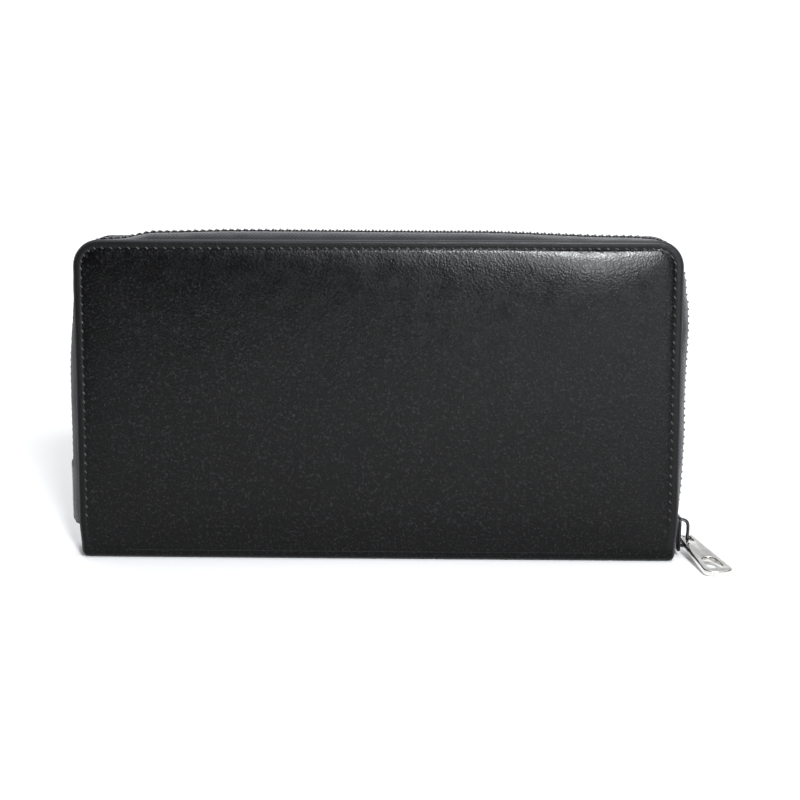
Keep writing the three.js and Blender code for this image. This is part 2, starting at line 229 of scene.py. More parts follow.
def rounded_block(
    name: str,
    size: Point,
    at: Point,
    radius: float,
    segments: int = 2,
    squeeze: Callable[[Vector], Vector] | None = None,
) -> bpy.types.Object:
    """Make a block with rounded edges.

    Args:
        name: the piece's name.
        size: its three sides in millimetres.
        at: its centre in millimetres.
        radius: the rounding of its edges in millimetres.
        segments: the rounding's steps.
        squeeze: moves each corner of the plain block, in millimetres, before the edges are rounded.

    Returns:
        The block.
    """
    deselect()
    bpy.ops.mesh.primitive_cube_add(size=1)
    piece = bpy.context.object
    piece.name = piece.data.name = name
    for vertex in piece.data.vertices:
        corner = Vector(vertex.co[k] * size[k] for k in range(3))
        corner = squeeze(corner) if squeeze else corner
        vertex.co = (corner + Vector(at)) * MM
    bpy.ops.object.mode_set(mode="EDIT")
    bpy.ops.mesh.select_all(action="SELECT")
    bpy.ops.mesh.bevel(offset=radius * MM, segments=segments, affect="EDGES")
    bpy.ops.object.mode_set(mode="OBJECT")
    return piece


def flat_casting(name: str, outlines: Sequence[Sequence[Spot]], thick: float, radius: float) -> bpy.types.Object:
    """Cut a plate with holes from flat curves, with rounded edges.

    Args:
        name: the piece's name.
        outlines: the outside first, then each hole, as points in millimetres.
        thick: the plate's thickness in millimetres.
        radius: the rounding of its edges in millimetres.

    Returns:
        The plate as a mesh, lying in the XY plane with its middle at Z = 0.
    """
    curve = bpy.data.curves.new(name, "CURVE")
    curve.dimensions = "2D"
    curve.fill_mode = "BOTH"
    curve.extrude = (thick / 2 - radius) * MM
    curve.bevel_depth = radius * MM
    curve.offset = -radius * MM
    curve.bevel_resolution = 2
    for outline in outlines:
        spline = curve.splines.new("POLY")
        spline.points.add(len(outline) - 1)
        for point, (x, y) in zip(spline.points, outline):
            point.co = (x * MM, y * MM, 0, 1)
        spline.use_cyclic_u = True
    piece = bpy.data.objects.new(name, curve)
    bpy.context.collection.objects.link(piece)
    activate(piece)
    bpy.ops.object.convert(target="MESH")
    piece = bpy.context.object
    recalculate(piece)
    smooth(piece, 35)
    return piece


def bent_wire(name: str, points: Sequence[Point], radius: float) -> bpy.types.Object:
    """Bend a round wire along a smooth line.

    Args:
        name: the piece's name.
        points: the line's points in millimetres.
        radius: the wire's radius in millimetres.

    Returns:
        The wire as a mesh with closed ends.
    """
    curve = bpy.data.curves.new(name, "CURVE")
    curve.dimensions = "3D"
    curve.bevel_depth = radius * MM
    curve.bevel_resolution = 4
    curve.use_fill_caps = True
    spline = curve.splines.new("NURBS")
    spline.points.add(len(points) - 1)
    for point, co in zip(spline.points, points):
        point.co = (*(Vector(co) * MM), 1)
    spline.order_u = 3
    spline.use_endpoint_u = True
    spline.resolution_u = 6
    piece = bpy.data.objects.new(name, curve)
    bpy.context.collection.objects.link(piece)
    activate(piece)
    bpy.ops.object.convert(target="MESH")
    piece = bpy.context.object
    recalculate(piece)
    smooth(piece, 50)
    return piece


def seat(piece: bpy.types.Object, place: Matrix) -> bpy.types.Object:
    """Move a piece to its place, in its mesh."""
    piece.data.transform(place)
    return piece


def arc(cx: float, cy: float, radius: float, start: float, end: float, steps: int) -> list[Spot]:
    """Points round an arc, angles in degrees."""
    turns = [math.radians(start + (end - start) * i / steps) for i in range(steps + 1)]
    return [(cx + radius * math.cos(t), cy + radius * math.sin(t)) for t in turns]


def ease(t: float) -> float:
    """A smooth step from 0 to 1."""
    t = min(max(t, 0.0), 1.0)
    return t * t * (3 - 2 * t)


def bell(distance: float, width: float) -> float:
    """A bell curve of height 1."""
    return math.exp(-((distance / width) ** 2))


def both_ways(steps: Sequence[float], half: float) -> list[float]:
    """Stations from -half to half, close together near both ends.

    Args:
        steps: distances from an end, growing, all under half.
        half: half the width.

    Returns:
        The stations in order, with one in the middle.
    """
    left = [-half + step for step in steps]
    return left + [0.0] + [-x for x in reversed(left)]


# ---------------------------------------------------------------- finishes


def shade(colour: Point, share: float) -> Point:
    """A colour made darker or lighter by a share of itself."""
    return tuple(share * c for c in colour)


class Recipe:
    """A material being wired up, node by node."""

    def __init__(self, name: str) -> None:
        """Start a material with only its shader and output."""
        self.material = bpy.data.materials.new(name)
        self.material.use_nodes = True
        self.tree = self.material.node_tree
        self.shader = self.tree.nodes["Principled BSDF"]

    def node(self, kind: str, inputs: dict[str | int, object] | None = None, **settings: object) -> bpy.types.Node:
        """Add a node.

        Args:
            kind: the node's type.
            inputs: values or sockets for its inputs, by name or place.
            settings: its own settings.

        Returns:
            The node.
        """
        made = self.tree.nodes.new(kind)
        for key, value in settings.items():
            setattr(made, key, value)
        for key, value in (inputs or {}).items():
            if isinstance(value, Socket):
                self.tree.links.new(value, made.inputs[key])
            else:
                made.inputs[key].default_value = value
        return made

    def math(self, operation: str, a: object, b: object = 0.0, c: object = 0.0) -> Socket:
        """The result of one sum on numbers or sockets."""
        return self.node("ShaderNodeMath", {0: a, 1: b, 2: c}, operation=operation).outputs[0]

    def noise(self, where: Socket, scale: float, detail: float = 3.0) -> Socket:
        """Cloudy noise from 0 to 1."""
        made = self.node("ShaderNodeTexNoise", {"Vector": where, "Scale": scale, "Detail": detail})
        return made.outputs["Fac"]

    def spread(self, value: Socket, low: float, high: float, a: float = 0.3, b: float = 0.7) -> Socket:
        """Stretch a value from a..b to low..high, held at both ends."""
        made = self.node("ShaderNodeMapRange", {"Value": value, 1: a, 2: b, 3: low, 4: high})
        return made.outputs["Result"]

    def tint(self, share: Socket, a: object, b: object) -> Socket:
        """Mix two colours by a share."""
        made = self.node("ShaderNodeMix", data_type="RGBA")
        self.tree.links.new(share, made.inputs[0])
        for socket, colour in ((made.inputs[6], a), (made.inputs[7], b)):
            if isinstance(colour, Socket):
                self.tree.links.new(colour, socket)
            else:
                socket.default_value = (*colour, 1)
        return made.outputs[2]

    def objects(self) -> Socket:
        """Places in the wallet's own frame, in metres."""
        return self.node("ShaderNodeTexCoord").outputs["Object"]

    def bumps(self, height: Socket, depth: float, under: Socket | None = None) -> Socket:
        """A surface normal from a height, with depth in millimetres."""
        made = self.node("ShaderNodeBump", {"Height": height, "Distance": depth * MM, "Strength": 1.0})
        if under is not None:
            self.tree.links.new(under, made.inputs["Normal"])
        return made.outputs["Normal"]

    def set(self, **values: object) -> None:
        """Set or link the shader's sockets, by name with _ for a space."""
        for key, value in values.items():
            socket = self.shader.inputs[key.replace("_", " ")]
            if isinstance(value, Socket):
                self.tree.links.new(value, socket)
            else:
                socket.default_value = (*value, 1) if isinstance(value, tuple) else value


@dataclass(frozen=True)
class LeatherFinish:
    """Fine-grained leather: pebbles, pores, faint mottling, glints off the grain as bright flecks in its colour and,
    by a marked rim, a highlight on the cut edge as a lighter colour.

    Between the rim and the seam the leather is pressed lower and duller, and shade there is put into its colour as a
    darker margin.
    """

    name: str
    colour: Point
    # This colour is bright flecks painted as glints off the grain.
    fleck: Point = (0.0115, 0.0115, 0.012)
    roughness: float = 0.2
    specular: float = 0.15
    pebble: float = 0.72
    depth: float = 0.032
    # This colour is a painted highlight on the rounded cut edge.
    edge: Point = (0.03, 0.03, 0.033)

    def make(self) -> bpy.types.Material:
        """Wire the leather up."""
        r = Recipe(self.name)
        where = r.objects()
        warp = r.node("ShaderNodeTexNoise", {"Vector": where, "Scale": 700.0, "Detail": 2.0}).outputs["Color"]
        offset = r.node("ShaderNodeVectorMath", {0: warp, "Scale": 0.0006}, operation="SCALE").outputs[0]
        moved = r.node("ShaderNodeVectorMath", {0: where, 1: offset}, operation="ADD").outputs[0]
        packing = {"Vector": moved, "Scale": 1 / (self.pebble * MM), "Smoothness": 0.5}
        cells = r.node("ShaderNodeTexVoronoi", packing, feature="SMOOTH_F1").outputs["Distance"]
        wrinkle = r.noise(where, 520.0, 4.0)
        pores = r.noise(where, 3600.0, 2.0)
        valley = r.spread(cells, 0.0, 1.0, 0.28, 0.72)
        hill = r.math("MULTIPLY", r.math("SUBTRACT", 1.0, valley), 0.6)
        height = r.math("ADD", hill, r.math("MULTIPLY", wrinkle, 0.9))
        height = r.math("ADD", height, r.math("MULTIPLY", pores, 0.2))
        broad = r.bumps(r.noise(where, 38.0, 1.5), 0.3)
        rim = r.node("ShaderNodeAttribute", attribute_name="rim").outputs["Fac"]
        # A lighter band along the cut edge: painted highlight.
        edge_highlight = r.spread(rim, 1.0, 0.0, 0.12, 0.4)
        # The band between the cut edge and the seam: painted shade in the colour, and more roughness below.
        margin = r.spread(rim, 1.0, 0.0, 1.7, 2.3)
        mottled = r.spread(r.noise(where, 55.0, 3.0), 0.0, 1.0, 0.35, 0.65)
        colour = r.tint(mottled, shade(self.colour, 0.72), shade(self.colour, 1.3))
        # Bright flecks painted as glints off the grain.
        glint_speckle = r.spread(r.noise(where, 1400.0, 2.0), 0.0, 1.0, 0.52, 0.64)
        colour = r.tint(glint_speckle, colour, self.fleck)
        # Darker in the grain's valleys: painted shade.
        colour = r.tint(valley, colour, shade(self.colour, 0.35))
        # Painted shade in the pressed margin.
        colour = r.tint(r.math("MULTIPLY", margin, 0.5), colour, shade(self.colour, 0.5))
        # Paint the highlight onto the cut edge.
        colour = r.tint(edge_highlight, colour, self.edge)
        rough = r.spread(r.noise(where, 160.0, 3.0), self.roughness - 0.04, self.roughness + 0.05)
        rough = r.math("ADD", rough, r.math("MULTIPLY", valley, 0.08))
        rough = r.math("ADD", rough, r.math("MULTIPLY", margin, 0.12))
        r.set(
            Base_Color=colour,
            Roughness=rough,
            Specular_IOR_Level=self.specular,
            Normal=r.bumps(height, self.depth, broad),
        )
        return r.material


@dataclass(frozen=True)
class ClothFinish:
    """Woven cloth that follows the sheet's own map in millimetres."""

    name: str
    colour: Point
    weave: Weave
    thread: float = 0.42
    column: float = 2.4
    roughness: float = 0.85
    sheen: float = 0.25

    def make(self) -> bpy.types.Material:
        """Wire the cloth up."""
        r = Recipe(self.name)
        mapped = r.node("ShaderNodeUVMap", uv_map="UVMap").outputs["UV"]
        parts = r.node("ShaderNodeSeparateXYZ", {0: mapped}).outputs
        along, across = parts[0], parts[1]
        slope = r.math("PINGPONG", across, self.column) if self.weave is Weave.HERRINGBONE else across
        diagonal = r.math("MULTIPLY", r.math("ADD", along, slope), 2 * math.pi / (2 * self.thread))
        ridge = r.spread(r.math("SINE", diagonal), 0.0, 1.0, -1.0, 1.0)
        yarn = r.math("SINE", r.math("MULTIPLY", r.math("SUBTRACT", along, across), 2 * math.pi / self.thread))
        yarn = r.spread(yarn, 0.0, 1.0, -1.0, 1.0)
        fuzz = r.noise(r.objects(), 5200.0, 2.0)
        height = r.math("ADD", r.math("MULTIPLY", ridge, 0.6), r.math("MULTIPLY", yarn, 0.25))
        height = r.math("ADD", height, r.math("MULTIPLY", fuzz, 0.2))
        r.set(
            # Darker in the weave's hollows and lighter on the raised threads: painted shade and painted highlight.
            Base_Color=r.tint(height, shade(self.colour, 0.35), shade(self.colour, 1.5)),
            Roughness=self.roughness,
            Specular_IOR_Level=0.25,
            Sheen_Weight=self.sheen,
            Sheen_Roughness=0.4,
            Normal=r.bumps(height, 0.2),
        )
        return r.material


@dataclass(frozen=True)
class MetalFinish:
    """Plated or lacquered metal with faint casting waves, fine scratches and handling marks."""

    name: str
    colour: Point
    roughness: float
    metallic: float = 1.0
    scratch: float = 0.004
    wave: float = 0.01

    def make(self) -> bpy.types.Material:
        """Wire the metal up."""
        r = Recipe(self.name)
        where = r.objects()
        brushing = {"Vector": where, "Scale": (900.0, 60.0, 200.0), "Rotation": (0.3, 0.5, 0.2)}
        lines = r.noise(r.node("ShaderNodeMapping", brushing).outputs[0], 1.6, 4.0)
        smear = r.spread(r.noise(where, 260.0, 3.0), -0.03, 0.07)
        waves = r.bumps(r.noise(where, 330.0, 1.0), self.wave)
        r.set(
            Base_Color=r.tint(r.spread(r.noise(where, 420.0), 0.0, 1.0), self.colour, shade(self.colour, 0.8)),
            Metallic=self.metallic,
            Roughness=r.math("ADD", smear, self.roughness),
            Normal=r.bumps(lines, self.scratch, waves),
        )
        return r.material


@dataclass(frozen=True)
class ThreadFinish:
    """Waxed sewing thread with its twist."""

    name: str
    colour: Point

    def make(self) -> bpy.types.Material:
        """Wire the thread up."""
        r = Recipe(self.name)
        where = r.objects()
        turns = {"Vector": where, "Scale": 900.0, "Distortion": 1.2}
        twist = r.node("ShaderNodeTexWave", turns, bands_direction="DIAGONAL").outputs["Fac"]
        r.set(
            # Darker in the grooves of the twist: painted shade.
            Base_Color=r.tint(r.spread(twist, 0.0, 1.0, 0.2, 0.8), shade(self.colour, 0.4), self.colour),
            Roughness=0.5,
            Specular_IOR_Level=0.35,
            Normal=r.bumps(twist, 0.06),
        )
        return r.material


@dataclass(frozen=True)
class BoardFinish:
    """Grey bookbinding board with loose fibres."""

    name: str
    colour: Point

    def make(self) -> bpy.types.Material:
        """Wire the board up."""
        r = Recipe(self.name)
        where = r.objects()
        fibres = r.noise(where, 1400.0, 5.0)
        specks = r.noise(where, 300.0, 2.0)
        r.set(
            Base_Color=r.tint(r.spread(specks, 0.0, 1.0), self.colour, shade(self.colour, 0.6)),
            Roughness=0.92,
            Normal=r.bumps(fibres, 0.08),
        )
        return r.material


@dataclass
class Finishes:
    """Every finish of the wallet, made once."""

    outer: LeatherFinish = LeatherFinish("outer_leather", (0.0009, 0.0009, 0.0011))
    inner: LeatherFinish = LeatherFinish(
        "inner_leather",
        (0.007, 0.007, 0.009),
        # Bright flecks painted as glints off the grain.
        fleck=(0.018, 0.018, 0.022),
        roughness=0.42,
        specular=0.25,
        pebble=0.6,
        depth=0.03,
    )
    lining: ClothFinish = ClothFinish(
        "lining_cloth", (0.02, 0.02, 0.025), Weave.TWILL, thread=0.3, roughness=0.8, sheen=0.2
    )
    tape: ClothFinish = ClothFinish(
        "zip_tape", (0.016, 0.016, 0.018), Weave.HERRINGBONE, thread=0.62, column=1.45
    )
    black_metal: MetalFinish = MetalFinish("black_zip_metal", (0.018, 0.018, 0.02), 0.32, 0.85)
    dark_nickel: MetalFinish = MetalFinish("dark_nickel", (0.06, 0.06, 0.065), 0.24)
    nickel: MetalFinish = MetalFinish("polished_nickel", (0.79, 0.77, 0.74), 0.07, scratch=0.002, wave=0.02)
    thread: ThreadFinish = ThreadFinish("sewing_thread", (0.045, 0.045, 0.05))
    board: BoardFinish = BoardFinish("spine_and_cover_board", (0.16, 0.155, 0.14))
    made: dict[str, bpy.types.Material] = field(default_factory=dict)

    def dress(self, piece: bpy.types.Object, finish: object, slot: str | None = None) -> bpy.types.Object:
        """Give a piece one finish.

        Args:
            piece: the piece.
            finish: one of the finishes above.
            slot: the record's material slot, for a new piece; not used.

        Returns:
            The piece.
        """
        if finish.name not in self.made:
            self.made[finish.name] = finish.make()
        piece.data.materials.clear()
        piece.data.materials.append(self.made[finish.name])
        return piece


# ---------------------------------------------------------------- the line of the zip


@dataclass
class ZipLine:
    """The line that the main zip follows round the left side, the top and the right side."""

    half: float = 97.25
    top: float = 104.0
    corner: float = 8.0
    tilt: float = 0.0358
    slider_height: float = 7.4
    slider_out: float = 0.55
    straight: float = 76.0

    def __post_init__(self) -> None:
        """Work out the runs of the sides, corners and top."""
        self.side = self.top - self.corner
        self.arc = math.pi / 2 * self.corner
        self.over = self.side + self.arc
        self.far = self.over + 2 * (self.half - self.corner)
        self.down = self.far + self.arc
        self.end = self.down + self.side

    def bulge(self, s: float) -> float:
        """How far the chain stands outside the cover edge at run s."""
        if s > self.end - self.straight:
            height = self.end - s
            slack = 0.7 * ease((height - 13) / 12) * (1 - ease((height - 38) / 20))
            return self.slider_out + (height - self.slider_height) * self.tilt + slack
        knots = [
            (0.0, 2.8), (60.0, 3.2), (self.side - 6, 1.4), (self.side + self.arc / 2, -0.4), (self.over + 4, 0.0),
            (self.over + 17, 2.0), (self.over + 44, 2.5), (self.far - 60, 2.2), (self.far - 8, 0.7),
            (self.far + self.arc / 2, -0.3), (self.down + 7, 1.9), (self.down + 14, 2.8),
            (self.end - self.straight, self.slider_out + (self.straight - self.slider_height) * self.tilt),
        ]
        for (s0, d0), (s1, d1) in zip(knots, knots[1:]):
            if s <= s1:
                return d0 + (d1 - d0) * ease((s - s0) / (s1 - s0))
        return knots[-1][1]

    def point(self, s: float, y: float, out: float) -> Point:
        """The point at run s, y from the mid plane, out from the cover edge."""
        if s <= self.side:
            return (-self.half - out, y, s)
        if s >= self.down:
            return (self.half + out, y, self.end - s)
        if self.over <= s <= self.far:
            return (-self.half + self.corner + s - self.over, y, self.top + out)
        left = s < self.over
        turn = (s - (self.side if left else self.far)) / self.corner
        angle = math.pi - turn if left else math.pi / 2 - turn
        radius = self.corner + out
        centre = (-1 if left else 1) * (self.half - self.corner)
        return (centre + radius * math.cos(angle), y, self.side + radius * math.sin(angle))

    def place(self, s: float, y: float, out: float, turn: float = 0.0) -> Matrix:
        """A place on the line whose X runs along it, Y across it and Z out of the wallet.

        Args:
            s: the run.
            y: the distance from the mid plane.
            out: the distance outside the cover edge.
            turn: a turn about the outward direction, in radians.

        Returns:
            The place, in metres.
        """
        here, ahead = (Vector(self.point(s + d, y, out)) for d in (0.0, 0.05))
        along = (ahead - here).normalized()
        across = Vector((0, 1, 0))
        outward = along.cross(across).normalized()
        if outward.dot(here - Vector((0, y, self.side / 2))) < 0:
            outward = -outward
        across = outward.cross(along)
        axes = Matrix((along, across, outward)).transposed().to_4x4()
        return Matrix.Translation(here * MM) @ axes @ Matrix.Rotation(turn, 4, "Z")


# ---------------------------------------------------------------- covers


@dataclass
class Cover:
    """One cover: leather from the middle of the spine, round the fold and up over the board."""

    side: Side
    line: ZipLine
    finishes: Finishes
    thick: float = 1.2
    half_thick: float = 13.0
    fold: float = 3.5
    fold_half: float = 96.5
    stitch_in: float = 2.15
    pitch: float = 2.9
    slant: float = 0.7
    edge_round: float = 0.45
    press_near: float = 0.75
    press_far: float = 0.35
    press_rest: float = 0.3
    full_at: Spot = (69.0, 99.0)
    full_size: Spot = (19.0, 30.0)
    channel_deep: float = 0.2
    channel_wide: float = 0.4
    roll: float = 0.1
    seam_low: float = 5.6

    def width_at(self, z: float) -> float:
        """Half the cover's length at a height."""
        if z > self.line.side:
            up = min(z - self.line.side, self.line.corner)
            return self.line.half - self.line.corner + math.sqrt(self.line.corner**2 - up**2)
        return self.fold_half + (self.line.half - self.fold_half) * ease((z - self.fold) / 10)

    def inside(self, x: float, z: float) -> float:
        """The distance from a point of the panel to its stitched edge."""
        corner, side = self.line.corner, self.line.side
        flat = self.line.half - corner
        if z > side and abs(x) > flat:
            return corner - math.hypot(abs(x) - flat, z - side)
        return min(self.width_at(min(z, side)) - abs(x), self.line.top - z)

    def drop(self, d: float, x: float, z: float) -> float:
        """How far the outside lies below the flat at distance d from the edge."""
        edge = self.edge_round
        rounded = edge - math.sqrt(max(edge**2 - (edge - d) ** 2, 0)) if d < edge else 0.0
        inner = max(d - self.stitch_in - 0.15, 0.0)
        pressed = self.press_near * math.exp(-inner / 4.0) + self.press_far * math.exp(-inner / 15.0) - self.press_rest
        full = 0.5 * (1 - math.exp(-inner / 4.2)) + 0.5 * (1 - math.exp(-inner / 9))
        fuller = full * bell(x - self.full_at[0], self.full_size[0]) * bell(z - self.full_at[1], self.full_size[1])
        below = max(13.5 - z, 0.0)
        pressed += 0.06 * below**2 / (below + 2.5)
        channel = self.channel_deep * bell(d - self.stitch_in, self.channel_wide)
        rolling = self.roll * (1 + math.sin(0.051 * x + 0.6 * self.side.value) * math.cos(0.043 * z + 0.4))
        return rounded + pressed + channel - fuller + rolling * ease(inner / 14)

    def profile(self, p: float) -> tuple[float, float, float, float]:
        """The outside of the leather at p from the middle of the spine.

        Args:
            p: the run from the middle of the spine, round the fold and up.

        Returns:
            y and z of the point, then y and z of the outward direction, for the front.
        """
        flat = self.half_thick - self.fold
        turn = math.pi / 2 * self.fold
        if p <= flat:
            return (p, 0.0, 0.0, -1.0)
        if p < flat + turn:
            angle = (p - flat) / self.fold
            ny, nz = math.sin(angle), -math.cos(angle)
            return (flat + self.fold * ny, self.fold + self.fold * nz, ny, nz)
        return (self.half_thick, self.fold + p - flat - turn, 1.0, 0.0)

    def locate(self, u: float, p: float) -> Point:
        """The middle of the leather at share u of its length and run p."""
        y, z, ny, nz = self.profile(p)
        if ny < 1:
            width = self.fold_half - 1.5 * (1 - ny) ** 1.5
            x = u * width / self.line.half
            sink = 0.12 * math.exp(-(width - abs(x)) / 4) + self.thick / 2
            sink += 0.3 * (1 - math.sqrt(1 - min(max(1 - (width - abs(x)) / 0.5, 0.0), 1.0) ** 2))
            rise = self.drop(FAR_FROM_RIM, x, z) * ny**3
        else:
            x = u * self.width_at(z) / self.line.half
            sink = self.thick / 2
            rise = self.drop(max(self.inside(x, z), 0.0), x, z) * (0.35 + 0.65 * ease((z - self.fold) / 12))
        off = sink + rise
        return (x, self.side.value * (y - ny * off), z - nz * off)

    def note(self, u: float, p: float) -> Point:
        """The rim mark and map of the leather at u and p."""
        _, z, ny, _ = self.profile(p)
        if ny < 1:
            return (self.fold_half * (1 - abs(u) / self.line.half), u, p)
        x = u * self.width_at(z) / self.line.half
        return (max(self.inside(x, z), 0.0), u, p)

    def leather(self) -> bpy.types.Object:
        """Lay the cover leather."""
        # Stations close up at the cut edge and the seam, and round the fold.
        near = [0, 0.12, 0.3, 0.5, 0.8, 1.0, 1.15, 1.5, 1.8, 2.1, 2.4, 2.8, 3.6, 4.8, 6.5, 9, 12, 16, 21, 27, 34]
        near += [42, 51, 61, 72, 84]
        us = both_ways(near, self.line.half)
        flat, turn = self.half_thick - self.fold, math.pi / 2 * self.fold
        foot = flat + turn
        vs = [0, 3, 6, 8.5] + [flat + turn * i / 9 for i in range(10)]
        vs += [foot + h for h in (1, 2.2, 3.8, 6, 9, 13, 18, 24, 31, 39, 48, 57, 65, 72, 78, 83, 87, 90)]
        tall = foot + self.line.top - self.fold
        vs += [tall - t for t in (8, 6.8, 5.6, 4.6, 3.8, 3.2, 2.8, 2.4, 2.1, 1.8, 1.5, 1.15, 1.0, 0.8, 0.5, 0.3)]
        vs += [tall - t for t in (0.18, 0.08, 0.02, 0)]
        piece = soft_sheet(f"cover_leather_{self.side.word}", us, vs, self.locate, self.thick, self.note)
        smooth(piece, 50)
        self.finishes.dress(piece, self.finishes.outer, "outer_leather")
        word = self.side.word
        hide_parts(f"cover_{word}", f"fold_{word}", "spine_cover")
        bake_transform(piece)
        return piece

    def stitch(self) -> bpy.types.Object:
        """One stitch: a short thread whose ends dive into the leather."""
        deselect()
        bpy.ops.mesh.primitive_uv_sphere_add(segments=8, ring_count=6, radius=1)
        thread = bpy.context.object
        for vertex in thread.data.vertices:
            x, y, z = vertex.co
            long = z * 1.08
            vertex.co = Vector((long, y * 0.27, x * 0.26 - 0.22 * (long / 1.12) ** 2)) * MM
        smooth(thread, 80)
        return thread

    def stitches(self) -> bpy.types.Object:
        """Sew the seam along the two ends and the top, with back tacks at its two ends."""
        places = []
        start, stop = self.seam_low, self.line.end - self.seam_low
        count = round((stop - start) / self.pitch)
        runs = [start + (stop - start) * i / count for i in range(count + 1)]
        tacks = [runs[0] + self.pitch / 2, runs[-1] - self.pitch / 2]
        for s in runs + tacks:
            x, _, z = self.line.point(s, 0, -self.stitch_in)
            pull = self.width_at(z) - self.line.half if z < self.line.side else 0.0
            x += math.copysign(pull, x)
            y = self.half_thick - self.drop(self.stitch_in, x, z) + 0.02
            upright = ease((abs(x) - 86) / 8)
            slope = self.slant + 0.2 * upright + 0.06 * math.sin(7.3 * s)
            along = Vector((-self.side.value * math.cos(slope), 0, -math.sin(slope)))
            out = Vector((0, self.side.value, 0))
            axes = Matrix((along, out.cross(along), out)).transposed().to_4x4()
            at = Matrix.Translation(Vector((x, self.side.value * y, z)) * MM)
            places.append(at @ axes)
        piece = copies(f"cover_stitching_{self.side.word}", self.stitch(), places)
        self.finishes.dress(piece, self.finishes.thread, "outer_leather")
        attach(piece, self.side.body)
        return piece

    def build(self) -> None:
        """Make the cover and its seam."""
        self.leather()
        self.stitches()
        log.info("cover %s", self.side.word)


# ---------------------------------------------------------------- main zip


